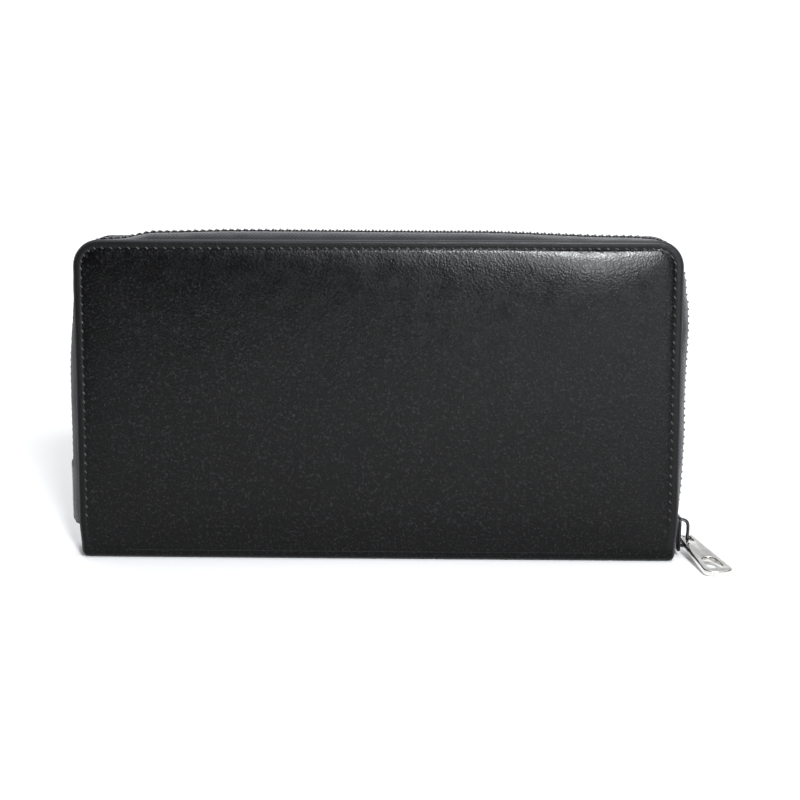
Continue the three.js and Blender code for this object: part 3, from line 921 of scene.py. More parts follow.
@dataclass
class MainZip:
    """The tapes, teeth, stops and end tab of the zip that closes the wallet."""

    line: ZipLine
    finishes: Finishes
    low_left: float = 11.0
    low_right: float = 2.4
    tab_top: float = 31.0
    slider_top: float = 15.4
    pitch: float = 2.33
    tape_thick: float = 0.45
    tape_wide: float = 15.5
    sewn_low: float = 10.2
    sewn_more: float = 1.3
    tab_long: float = 20.0
    tab_half: float = 8.5
    tab_thick: float = 0.9

    def section(self, s: float, t: float) -> tuple[float, float]:
        """The tape's middle across its width.

        Args:
            s: the run along the zip.
            t: from 0 at the teeth to 1 at the sewn edge.

        Returns:
            The distance from the mid plane and the distance outside the cover edge.
        """
        d = self.line.bulge(s)
        height = min(s, self.line.end - s)
        sewn = self.sewn_low + self.sewn_more * ease((height - 3) / 9)
        marks = [(1.9, d), (5.2, d), (8.2, 0.66 * d + 0.1)]
        marks += [(sewn - 0.9, 0.1 * d - 0.35), (sewn, -1.9), (sewn, -5.0)]
        k = min(int(t * 5), 4)
        f = t * 5 - k
        a, b, c, e = (marks[min(max(k + j, 0), 5)] for j in (-1, 0, 1, 2))
        spline = [
            0.5 * (2 * b[n] + (c[n] - a[n]) * f + (2 * a[n] - 5 * b[n] + 4 * c[n] - e[n]) * f * f
                   + (3 * b[n] - a[n] - 3 * c[n] + e[n]) * f**3)
            for n in (0, 1)
        ]
        slack = math.sin(math.pi * ease(min(max((t - 0.15) / 0.5, 0), 1)))
        ripple = 0.1 * math.sin(s / 2.7 + 2 * math.sin(s / 23)) + 0.07 * math.sin(s / 1.15)
        return (spline[0], spline[1] + ripple * slack)

    def stations(self, start: float, stop: float, straight: float = 2.2, round_step: float = 0.9) -> list[float]:
        """Runs along the zip, closer together in the corners."""
        runs, s = [], start
        while s < stop - 0.3:
            runs.append(s)
            corner = self.line.side - 4 < s < self.line.over + 4 or self.line.far - 4 < s < self.line.down + 4
            s += round_step if corner else straight
        return runs + [stop]

    def tape(self, side: Side) -> bpy.types.Object:
        """Weave one tape."""
        runs = self.stations(self.low_left, self.line.end - self.low_right)
        columns = 22
        across = [i / columns for i in range(columns + 1)]

        def locate(s: float, t: float) -> Point:
            """The tape's middle at run s and share t."""
            y, out = self.section(s, t)
            return self.line.point(s, side.value * y, out)

        def note(s: float, t: float) -> Point:
            """The rim mark and map at run s and share t."""
            return (FAR_FROM_RIM, s, self.tape_wide * t)

        piece = soft_sheet(f"zip_tape_cloth_{side.word}", runs, across, locate, self.tape_thick, note)
        smooth(piece, 60)
        self.finishes.dress(piece, self.finishes.tape, "zip_tape")
        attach(piece, side.body)
        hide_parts(f"zip_tape_{side.word}")
        return piece

    def tooth(self) -> bpy.types.Object:
        """One tooth: two legs clamped over the tape's edge and a pointed head."""

        def pinch(corner: Vector) -> Vector:
            """Narrow the head and the ridge."""
            head = corner.y < 0
            return Vector((corner.x * (0.8 if head else 1.0), corner.y, corner.z * (0.72 if head else 1.0)))

        piece = rounded_block("tooth", (1.24, 3.5, 1.9), (0, 1.1, 0), 0.3, 1, pinch)
        for vertex in piece.data.vertices:
            if abs(vertex.co.z) > 0.6 * MM:
                vertex.co.x *= 0.62
        smooth(piece, 25)
        return piece

    def teeth(self, side: Side) -> bpy.types.Object:
        """Clamp one row of teeth."""
        start, stop = self.tab_top + 0.8, self.line.end - self.slider_top
        shift = 0 if side is Side.BACK else self.pitch / 2
        places = []
        for i in range(int((stop - start - shift) / self.pitch) + 1):
            s = start + shift + i * self.pitch
            place = self.line.place(s, 0, self.line.bulge(s))
            across = (place.to_3x3() @ Vector((0, 1, 0))).y
            flip = Matrix.Rotation(math.pi, 4, "Z") if across * side.value < 0 else Matrix.Identity(4)
            places.append(place @ flip)
        piece = copies(f"zip_tooth_row_{side.word}", self.tooth(), places)
        self.finishes.dress(piece, self.finishes.black_metal, "zip_metal")
        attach(piece, side.body)
        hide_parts(f"zip_teeth_{side.word}")
        return piece

    def end_tab(self, side: Side) -> bpy.types.Object:
        """Half of the leather tab that covers the closed end of the zip."""
        rows = [0, 0.25, 0.7, 1.4, 2.5, 5, 8, 11, 14, 16.5, 18.2, 19.2, 19.7, self.tab_long]
        cols = [0, 1.2, 2.4, 3.6, 4.8, 6.0, 7.0, 7.7, 8.2, self.tab_half]

        def locate(v: float, y: float) -> Point:
            """The tab's middle at height v and distance y from the mid plane."""
            z = self.low_left + v
            end = max(min(v, self.tab_long - v, 1.4), 0.0) / 1.4
            edge = max(min(self.tab_half - y, 1.0), 0.0)
            rounded = 0.45 * (1 - math.sqrt(1 - (1 - end) ** 2)) + 0.3 * (1 - math.sqrt(1 - (1 - edge) ** 2))
            _, out = self.section(z, min(0.66 * y / 8.2, 1.0) if y > 5 else 0.4 * y / 5)
            lift = 0.85 + 0.25 * bell(y, 3.2)
            return self.line.point(z, side.value * y, out + lift - rounded)

        piece = soft_sheet(
            f"zip_end_tab_{side.word}", rows, cols, locate, self.tab_thick,
            lambda v, y: (min(v, self.tab_long - v, self.tab_half - y) + 0.05, v, y),
        )
        smooth(piece, 50)
        self.finishes.dress(piece, self.finishes.outer, "outer_leather")
        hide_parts("zip_end_tab")
        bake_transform(piece)
        return piece

    def build(self) -> None:
        """Make the whole zip and dress its stops."""
        for side in Side:
            self.tape(side)
            self.teeth(side)
            self.end_tab(side)
            self.finishes.dress(frame["nodes"][f"zip_stop_{side.word}"], self.finishes.black_metal)
        self.finishes.dress(frame["nodes"]["zip_start_stop"], self.finishes.black_metal)
        log.info("main zip")


# ---------------------------------------------------------------- sliders and pullers


@dataclass
class Slider:
    """A zip slider: two plates with a short wedge on each, side lips and its bail.

    Its own frame has X out of the chain, Y across it and Z along it. The plates' inner faces lie at clear from
    the chain's middle, and the wedges and lips reach in to gap and lip, clear of the meshed rows and the tapes.
    """

    name: str
    body: str
    nodes: tuple[str, str]
    place: Matrix
    finishes: Finishes
    body_finish: MetalFinish
    length: float
    half: float
    plate: float
    clear: float
    wedge: float
    gap: float
    lip: float
    bail: tuple[Spot, ...]
    wire: float

    def plate_piece(self, at: float, outward: int) -> bpy.types.Object:
        """One plate, waisted towards its closed end and crowned on the outside.

        Args:
            at: the plate's middle out from the chain.
            outward: 1 for the outer plate, -1 for the inner one.

        Returns:
            The plate in the slider's own frame.
        """
        end, half = self.length / 2, self.half
        outline = arc(-half + 1.4, -end + 1.4, 1.4, 180, 270, 5) + arc(half - 1.4, -end + 1.4, 1.4, 270, 360, 5)
        outline += [(half, -end + 0.35 * self.length), (half - 0.35, end - 2.2)]
        outline += arc(half - 1.5, end - 1.1, 1.1, 0, 90, 5) + arc(-half + 1.5, end - 1.1, 1.1, 90, 180, 5)
        outline += [(-half + 0.35, end - 2.2), (-half, -end + 0.35 * self.length)]
        piece = flat_casting(f"{self.name}_plate", [outline], self.plate, 0.28 * self.plate)
        turned = Matrix(((0, 0, 1, at * MM), (1, 0, 0, 0), (0, 1, 0, 0), (0, 0, 0, 1)))
        seat(piece, turned)
        for vertex in piece.data.vertices:
            x, y, z = vertex.co / MM
            if (x - at) * outward > 0:
                crown = 0.25 * (1 - (y / half) ** 2) * (1 - (z / end) ** 2)
                vertex.co.x += outward * crown * MM
        return piece

    def casting(self) -> bpy.types.Object:
        """The slider's body."""
        end, mid = self.length / 2, self.clear + self.plate / 2
        parts = [self.plate_piece(mid, 1), self.plate_piece(-mid, -1)]

        def narrow(corner: Vector) -> Vector:
            """Point the wedge towards the closed end."""
            return Vector((corner.x, corner.y * (0.45 if corner.z > 0 else 1.0), corner.z))

        tall = self.clear - self.gap + 0.2
        for out in (-1, 1):
            at = (out * (self.gap + tall / 2), 0, -end + 1.9)
            parts.append(rounded_block("wedge", (tall, 2 * self.wedge, 3.0), at, 0.3 * tall, 2, narrow))
        deep = self.clear - self.lip + 0.2
        for side in (-1, 1):
            for out in (-1, 1):
                at = (out * (self.lip + deep / 2), side * (self.half - 0.8), 0.9)
                parts.append(rounded_block("lip", (deep, 0.6, self.length - 2.2), at, 0.14, 2))
        deselect()
        for part in parts:
            part.select_set(True)
        bpy.context.view_layer.objects.active = parts[0]
        bpy.ops.object.join()
        piece = bpy.context.object
        piece.name = piece.data.name = f"{self.name}_casting"
        smooth(piece, 35)
        seat(piece, self.place)
        self.finishes.dress(piece, self.body_finish, "zip_metal")
        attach(piece, self.body)
        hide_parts(self.nodes[0])
        return piece

    def arch(self) -> bpy.types.Object:
        """The bail that the puller hangs on, with a foot at each end."""
        face = self.clear + self.plate
        points = [(face + out, 0.0, z) for out, z in self.bail]
        piece = bent_wire(f"{self.name}_bail_wire", points, self.wire)
        parts = [piece]
        for out, z in (self.bail[0], self.bail[-1]):
            size = (0.5, 2.6 * self.wire, 2.8 * self.wire)
            parts.append(rounded_block("foot", size, (face + 0.2, 0, z), 0.12, 2))
        deselect()
        for part in parts:
            part.select_set(True)
        bpy.context.view_layer.objects.active = piece
        bpy.ops.object.join()
        smooth(piece, 50)
        seat(piece, self.place)
        self.finishes.dress(piece, self.finishes.dark_nickel, "dark_nickel")
        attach(piece, self.body)
        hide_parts(self.nodes[1])
        return piece

    def build(self) -> None:
        """Make the slider's body and bail."""
        self.casting()
        self.arch()
        log.info("slider %s", self.name)


@dataclass
class MainPuller:
    """The polished puller of the main zip: a tapering plate with a window at its neck and a slot near its tip."""

    finishes: Finishes
    length: float = 34.6
    thick: float = 1.8
    neck: float = 2.4
    tip: float = 4.7
    window: float = 1.2
    leg: float = 1.8
    hang: float = 2.8
    pivot: Point = (101.15, 0.0, 4.6)
    drop: float = 0.115
    yaw: float = 0.2

    def outline(self) -> list[tuple[float, float]]:
        """The puller's outside, from the neck round the tip."""
        n, t, end = self.neck, self.tip, self.length
        points = arc(n - 0.9, 0.1, 0.9, -90, 0, 5)
        points += arc(t - 3.4, end - 3.4, 3.4, -8, 70, 10)
        points += arc(0, end - 11.5, 11.5, 79, 101, 6)
        points += arc(-t + 3.4, end - 3.4, 3.4, 110, 188, 10)
        points += arc(-n + 0.9, 0.1, 0.9, 180, 270, 5)
        return points

    def build(self) -> None:
        """Cut the puller and hang it on the bail."""
        w, end = self.window, self.length
        opening = arc(w - 0.4, 1.1, 0.4, 0, -90, 3) + arc(-w + 0.4, 1.1, 0.4, 270, 180, 3)
        opening += arc(-w + 0.4, 5.5, 0.4, 180, 90, 3) + arc(w - 0.4, 5.5, 0.4, 90, 0, 3)
        slot = arc(0, end - 5.9, 2.6, 0, 180, 12) + arc(0, end - 11.4, 2.3, 180, 360, 12)
        piece = flat_casting("puller_plate", [self.outline(), opening, slot], self.thick, 0.32)
        level = math.sqrt(1 - self.drop**2)
        along = Vector((level * math.sin(self.yaw), -level * math.cos(self.yaw), -self.drop))
        across = Vector((-math.cos(self.yaw), -math.sin(self.yaw), 0))
        base = Vector(self.pivot) - self.hang * along - self.leg * across
        axes = Matrix((across, along, across.cross(along))).transposed().to_4x4()
        seat(piece, Matrix.Translation(base * MM) @ axes)
        self.finishes.dress(piece, self.finishes.nickel, "nickel")
        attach(piece, "zip_puller")
        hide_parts("puller")
        log.info("puller")


# ---------------------------------------------------------------- linings, card panels and gussets


@dataclass
class Sewing:
    """Straight seams made of single stitches on a flat panel."""

    finishes: Finishes
    pitch: float = 2.9
    thread: float = 0.2

    def stitch(self) -> bpy.types.Object:
        """One fine stitch."""
        deselect()
        bpy.ops.mesh.primitive_uv_sphere_add(segments=8, ring_count=5, radius=1)
        piece = bpy.context.object
        for vertex in piece.data.vertices:
            x, y, z = vertex.co
            vertex.co = Vector((z * 1.05, y * self.thread, x * 0.16 - 0.12 * z * z)) * MM
        smooth(piece, 80)
        return piece

    def seam(self, name: str, body: str, runs: Sequence[tuple[Point, Point]], out: Vector) -> bpy.types.Object:
        """Sew several straight runs as one piece.

        Args:
            name: the piece's name.
            body: the body it rides on.
            runs: the two ends of each run, in millimetres, on the panel's surface.
            out: the direction that the panel faces.

        Returns:
            The seam.
        """
        places = []
        for a, b in runs:
            start, stop = Vector(a), Vector(b)
            along = (stop - start).normalized()
            count = max(1, round((stop - start).length / self.pitch))
            axes = Matrix((along, out.cross(along), out)).transposed().to_4x4()
            for i in range(count):
                at = start + (stop - start) * (i + 0.5) / count
                places.append(Matrix.Translation(at * MM) @ axes @ Matrix.Rotation(0.2, 4, "Z"))
        piece = copies(name, self.stitch(), places)
        self.finishes.dress(piece, self.finishes.thread, "inner_leather")
        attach(piece, body)
        return piece


@dataclass
class Inside:
    """The lining, card panel, card strips and gussets of one half."""

    side: Side
    finishes: Finishes
    sewing: Sewing
    lining_y: float = 10.15
    panel_y: float = 9.35
    panel_top: float = 86.0
    tiers: tuple[tuple[float, float, float], ...] = ((7.2, 8.0, 44.0), (7.9, 30.0, 57.0), (8.6, 43.0, 70.0))
    column: float = 88.0

    def lining(self) -> bpy.types.Object:
        """Cloth from the middle of the spine up behind the card panel."""
        half, foot, top, corner, bend = 92.25, 2.85, 98.8, 5.0, 1.6
        flat = self.lining_y - bend
        turn = math.pi / 2 * bend

        def locate(u: float, p: float) -> Point:
            """The cloth's middle at share u and run p from the middle of the spine."""
            if p <= flat:
                y, z = p, foot
            elif p < flat + turn:
                angle = (p - flat) / bend
                y, z = flat + bend * math.sin(angle), foot + bend * (1 - math.cos(angle))
            else:
                y, z = self.lining_y, foot + bend + p - flat - turn
            up = max(0.0, z - (top - corner))
            wide = half - corner + math.sqrt(max(corner**2 - min(up, corner) ** 2, 0))
            wave = 0.1 * math.sin(u / 9) * math.sin(z / 13) * ease((z - 8) / 10)
            return (u * wide / half, self.side.value * (y + wave), z)

        tall = flat + turn + top - foot - bend
        vs = [0, 3, 6, flat] + [flat + turn * i / 6 for i in range(1, 7)]
        vs += [flat + turn + h for h in (3, 8, 16, 26, 38, 50, 62, 74, 84, 89)]
        vs += [tall - t for t in (3.8, 2.8, 2, 1.3, 0.7, 0.3, 0.1, 0)]
        us = both_ways([0, 1, 3, 6, 10, 16, 24, 34, 46, 60, 76], half)
        piece = soft_sheet(f"lining_cloth_{self.side.word}", us, vs, locate, 0.4)
        smooth(piece, 60)
        self.finishes.dress(piece, self.finishes.lining, "lining")
        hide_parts(f"lining_{self.side.word}", "spine_liner")
        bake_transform(piece)
        return piece

    def strip(self, name: str, node: str, y: float, low: float, top: float, half: float) -> bpy.types.Object:
        """One leather panel or card strip, with a creased top edge and two swelling pockets.

        Args:
            name: the piece's name.
            node: the CAD node that it replaces.
            y: the panel's middle, from the mid plane.
            low: its lower edge.
            top: its upper edge.
            half: half its length.

        Returns:
            The panel.
        """

        def locate(x: float, z: float) -> Point:
            """The leather's middle at x and z."""
            pocket = math.sin(math.pi * min(abs(x) / self.column, 1.0)) ** 2
            swell = 0.12 * pocket * math.sin(math.pi * min(max((z - low) / (top - low), 0), 1) * 0.7)
            crease = 0.07 * bell(top - z - 1.9, 0.3)
            notch = 0.25 * bell(abs(x), 0.8)
            dip = 0.9 * pocket**2 * ease((z - top + 9) / 9) if node.startswith("card_tier") else 0.0
            return (x, self.side.value * (y + crease + notch * 0.3 - swell), z - dip)

        def note(x: float, z: float) -> Point:
            """The rim mark and map at x and z."""
            return (min(top - z, half - abs(x)) + 0.05, x, z)

        zs = [low + (top - low) * i / 12 for i in range(10)]
        zs += [top - t for t in (5, 3.4, 2.5, 2.2, 1.9, 1.6, 1.2, 0.6, 0.25, 0) if top - t > zs[-1]]
        us = both_ways([0, 0.3, 1.2, 3, 7, 13, 20, 28, 37, 46, 55, 64, 72, 79, 84, 87, half - 0.9], half)
        piece = soft_sheet(name, us, zs, locate, 0.42, note)
        smooth(piece, 50)
        self.finishes.dress(piece, self.finishes.inner, "inner_leather")
        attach(piece, self.side.body)
        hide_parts(node)
        return piece

    def cards(self) -> None:
        """The card panel, its three strips and the seams between the card columns."""
        word = self.side.word
        panel = f"card_panel_{word}"
        self.strip(f"{panel}_leather", panel, self.panel_y, 6.0, self.panel_top, 91.25)
        runs = []
        s = self.side.value
        shown = [(self.panel_y, self.tiers[2][2], self.panel_top - 1.5)]
        for i, (y, low, top) in enumerate(self.tiers):
            node = f"card_tier_{word}_{i + 1}"
            self.strip(f"{node}_leather", node, y, low, top, 90.0)
            shown.append((y, self.tiers[i - 1][2] if i else low + 1, top - 0.4))
        for y, low, top in shown:
            face = s * (y - 0.24)
            runs += [((x, face, low), (x, face, top)) for x in (-88.0, 0.0, 88.0)]
        y, low, _ = self.tiers[0]
        runs.append(((-88.0, s * (y - 0.24), low + 1), (88.0, s * (y - 0.24), low + 1)))
        top = self.panel_top - 1.9
        runs.append(((-88.0, s * (self.panel_y - 0.24), top), (88.0, s * (self.panel_y - 0.24), top)))
        self.sewing.seam(f"card_stitching_{word}", self.side.body, runs, Vector((0, -s, 0)))

    def gusset(self, hand: int) -> bpy.types.Object:
        """One gusset: a leather web folded inwards, deeper towards its top.

        Args:
            hand: -1 for the left end, 1 for the right end.

        Returns:
            The gusset.
        """
        near, far, low, top = 3.2, 6.45, 8.0, 80.0
        word = "left" if hand < 0 else "right"

        def locate(t: float, z: float) -> Point:
            """The web's middle at share t across it and height z."""
            deep = 8.0 + (z - low) / (top - low) * 18.0
            fold = 1 - abs(2 * t - 1)
            fold = fold if fold < 0.92 else 0.92 + 0.08 * (1 - ((1 - fold) / 0.08) ** 2) / 1.4
            y = near + (far - near) * (t + 0.07 * math.sin(2 * math.pi * t))
            soft = 0.35 * math.sin(math.pi * fold) * math.sin(z / 11 + hand)
            x = hand * (90.0 - deep * fold)
            return (x, self.side.value * (y + 0.2 * soft), z - 0.6 * fold * ease((z - 70) / 10))

        ts = [0, 0.03, 0.08, 0.16, 0.25, 0.34, 0.42, 0.46, 0.48, 0.5]
        ts += [0.52, 0.54, 0.58, 0.66, 0.75, 0.84, 0.92, 0.97, 1]
        zs = [low + (top - low) * i / 18 for i in range(18)] + [top - 1.2, top - 0.4, top]
        piece = soft_sheet(
            f"gusset_leather_{self.side.word}_{word}", ts, zs, locate, 0.5, lambda t, z: (top - z + 0.05, 52 * t, z)
        )
        smooth(piece, 50)
        self.finishes.dress(piece, self.finishes.inner, "inner_leather")
        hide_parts(f"gusset_{self.side.word}_{word}")
        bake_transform(piece)
        return piece

    def build(self) -> None:
        """Make everything sewn into one half."""
        self.lining()
        self.cards()
        for hand in (-1, 1):
            self.gusset(hand)
        self.finishes.dress(frame["nodes"][f"board_{self.side.word}"], self.finishes.board)
        log.info("inside %s", self.side.word)


# ---------------------------------------------------------------- coin pocket


@dataclass
class CoinPocket:
    """The zipped leather pocket in the middle of the wallet."""

    finishes: Finishes
    sewing: Sewing
    half: float = 86.0
    wall_y: float = 2.4
    low: float = 4.2
    top: float = 82.2
    chain_z: float = 84.2
    pitch: float = 2.0
    first: float = -78.0
    last: float = 75.0

    def wall(self, side: Side) -> None:
        """One wall, creased below the zip and pillowed between its seams."""

        def locate(x: float, z: float) -> Point:
            """The wall's middle at x and z."""
            inner = math.sin(math.pi * (x + self.half) / (2 * self.half)) * math.sin(math.pi * (z - self.low) / 78)
            return (x, side.value * (self.wall_y + 0.15 * max(inner, 0) - 0.06 * bell(self.top - z - 3.2, 0.3)), z)

        zs = [4.2, 4.6, 5.4, 8, 14, 22, 30, 38, 46, 54, 62, 69, 74, 77, 78.4, 78.8, 79.2, 80, 81, 81.8, 82.2]
        us = both_ways([0, 0.3, 1, 3, 7, 14, 24, 36, 50, 66], self.half)
        piece = soft_sheet(
            f"coin_wall_leather_{side.word}", us, zs, locate, 0.5,
            lambda x, z: (min(self.top - z, self.half - abs(x)) + 0.05, x, z),
        )
        smooth(piece, 50)
        self.finishes.dress(piece, self.finishes.inner, "inner_leather")
        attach(piece, "spine")
        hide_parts(f"coin_wall_{side.word}")
        s = side.value
        face = s * (self.wall_y + 0.28)
        edge = self.half - 1.6
        seam_low, seam_top = self.low + 2, self.top - 3.2
        runs = [((x, face, seam_low), (x, face, seam_top)) for x in (-edge, edge)]
        runs.append(((-edge, face, seam_low), (edge, face, seam_low)))
        self.sewing.seam(f"coin_wall_stitching_{side.word}", "spine", runs, Vector((0, s, 0)))

    def web(self) -> None:
        """The leather strip that closes the pocket's two ends and its floor."""
        end, foot, bend = self.half + 0.5, 3.65, 2.5
        rise = self.top - foot - bend
        turn = math.pi / 2 * bend
        flat = 2 * (end - bend)

        def locate(y: float, p: float) -> Point:
            """The strip's middle at y and run p, down the left end, along the floor and up the right end."""
            tuck = 0.5 * (1 - (y / 2.5) ** 2)
            if p <= rise:
                x, z, nx, nz = -end, self.top - p, 1.0, 0.0
            elif p < rise + turn:
                angle = (p - rise) / bend
                x, z = -end + bend * (1 - math.cos(angle)), foot + bend * (1 - math.sin(angle))
                nx, nz = math.cos(angle), math.sin(angle)
            elif p <= rise + turn + flat:
                x, z, nx, nz = -end + bend + p - rise - turn, foot, 0.0, 1.0
            elif p < rise + 2 * turn + flat:
                angle = (p - rise - turn - flat) / bend
                x, z = end - bend * (1 - math.sin(angle)), foot + bend * (1 - math.cos(angle))
                nx, nz = -math.sin(angle), math.cos(angle)
            else:
                x, z, nx, nz = end, foot + bend + p - rise - 2 * turn - flat, -1.0, 0.0
            tuck *= abs(nx)
            return (x + nx * tuck, y, z + nz * tuck)

        total = 2 * rise + 2 * turn + flat
        runs = [rise * i / 10 for i in range(10)] + [rise + turn * i / 6 for i in range(6)]
        runs += [rise + turn + flat * i / 12 for i in range(12)]
        runs += [rise + turn + flat + turn * i / 6 for i in range(6)]
        runs += [rise + 2 * turn + flat + rise * i / 10 for i in range(11)]
        ys = [-2.45, -2.2, -1.5, -0.7, 0, 0.7, 1.5, 2.2, 2.45]
        piece = soft_sheet("coin_pocket_web", ys, runs, locate, 0.45, lambda y, p: (min(p, total - p) + 0.1, y, p))
        smooth(piece, 50)
        self.finishes.dress(piece, self.finishes.inner, "inner_leather")
        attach(piece, "spine")
        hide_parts("coin_floor", "coin_end_left", "coin_end_right")

    def tape(self, side: Side) -> None:
        """One tape of the coin zip: flat beside the chain, then turned down over the wall and sewn."""

        def locate(x: float, t: float) -> Point:
            """The tape's middle at x and t millimetres from the teeth."""
            if t < 1.5:
                y, z = 1.15 + t, self.chain_z
            elif t < 2.7:
                angle = (t - 1.5) / 1.2 * math.pi / 2
                y, z = 2.65 + 0.42 * math.sin(angle), self.chain_z - 0.6 * (1 - math.cos(angle))
            else:
                y, z = 3.07, self.chain_z - 0.6 - (t - 2.7)
            return (x, side.value * y, z + 0.04 * math.sin(x / 2.1))

        xs = [-84 + 168 * i / 60 for i in range(61)]
        ts = [0, 0.5, 1.0, 1.5, 1.8, 2.1, 2.4, 2.7, 3.4, 4.2, 5.0, 5.6]
        piece = soft_sheet(f"coin_tape_cloth_{side.word}", xs, ts, locate, 0.35)
        smooth(piece, 60)
        self.finishes.dress(piece, self.finishes.tape, "zip_tape")
        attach(piece, "spine")
        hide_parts(f"coin_tape_{side.word}")
        face = side.value * 3.28
        runs = [((-83.0, face, 81.6), (83.0, face, 81.6))]
        self.sewing.seam(f"coin_tape_stitching_{side.word}", "spine", runs, Vector((0, side.value, 0)))

    def teeth(self, side: Side) -> None:
        """One row of fine teeth."""

        def pinch(corner: Vector) -> Vector:
            """Narrow the head."""
            head = corner.y < 0
            return Vector((corner.x * (0.8 if head else 1.0), corner.y, corner.z * (0.75 if head else 1.0)))

        tooth = rounded_block("coin_tooth", (1.0, 2.3, 1.2), (0, 0.75, 0), 0.2, 1, pinch)
        smooth(tooth, 25)
        shift = 0 if side is Side.BACK else self.pitch / 2
        flip = Matrix.Rotation(0 if side is Side.FRONT else math.pi, 4, "Z")
        places = []
        x = self.first + shift
        while x < self.last:
            places.append(Matrix.Translation(Vector((x, 0, self.chain_z)) * MM) @ flip)
            x += self.pitch
        piece = copies(f"coin_tooth_row_{side.word}", tooth, places)
        self.finishes.dress(piece, self.finishes.black_metal, "zip_metal")
        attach(piece, "spine")
        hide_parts(f"coin_teeth_{side.word}")

    def build(self) -> None:
        """Make the pocket and its zip."""
        for side in Side:
            self.wall(side)
            self.tape(side)
            self.teeth(side)
        self.web()
        for name in ("coin_stop_left", "coin_stop_right"):
            self.finishes.dress(frame["nodes"][name], self.finishes.black_metal)
        log.info("coin pocket")


@dataclass
class CoinPuller:
    """The small drop-shaped puller of the coin zip."""

    finishes: Finishes
    at: float = 76.0
    low: float = 86.15
    thick: float = 0.9

    def build(self) -> None:
        """Cut the puller and lay it on the coin zip."""
        outline = arc(-0.2, -1.2, 0.8, -90, 0, 4) + arc(-0.2, 1.2, 0.8, 0, 90, 4)
        outline += arc(-12.4, 0, 2.6, 95, 265, 16)
        eye = arc(-0.9, -0.5, 0.4, 0, -90, 3) + arc(-4.0, -0.5, 0.4, 270, 180, 3)
        eye += arc(-4.0, 0.5, 0.4, 180, 90, 3) + arc(-0.9, 0.5, 0.4, 90, 0, 3)
        ring = arc(-12.4, 0, 1.2, 0, 345, 20)
        piece = flat_casting("coin_puller_plate", [outline, eye, ring], self.thick, 0.2)
        seat(piece, Matrix.Translation(Vector((self.at, 0, self.low + self.thick / 2)) * MM))
        self.finishes.dress(piece, self.finishes.nickel, "nickel")
        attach(piece, "coin_puller")
        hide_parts("coin_puller")
        log.info("coin puller")


# ---------------------------------------------------------------- studio


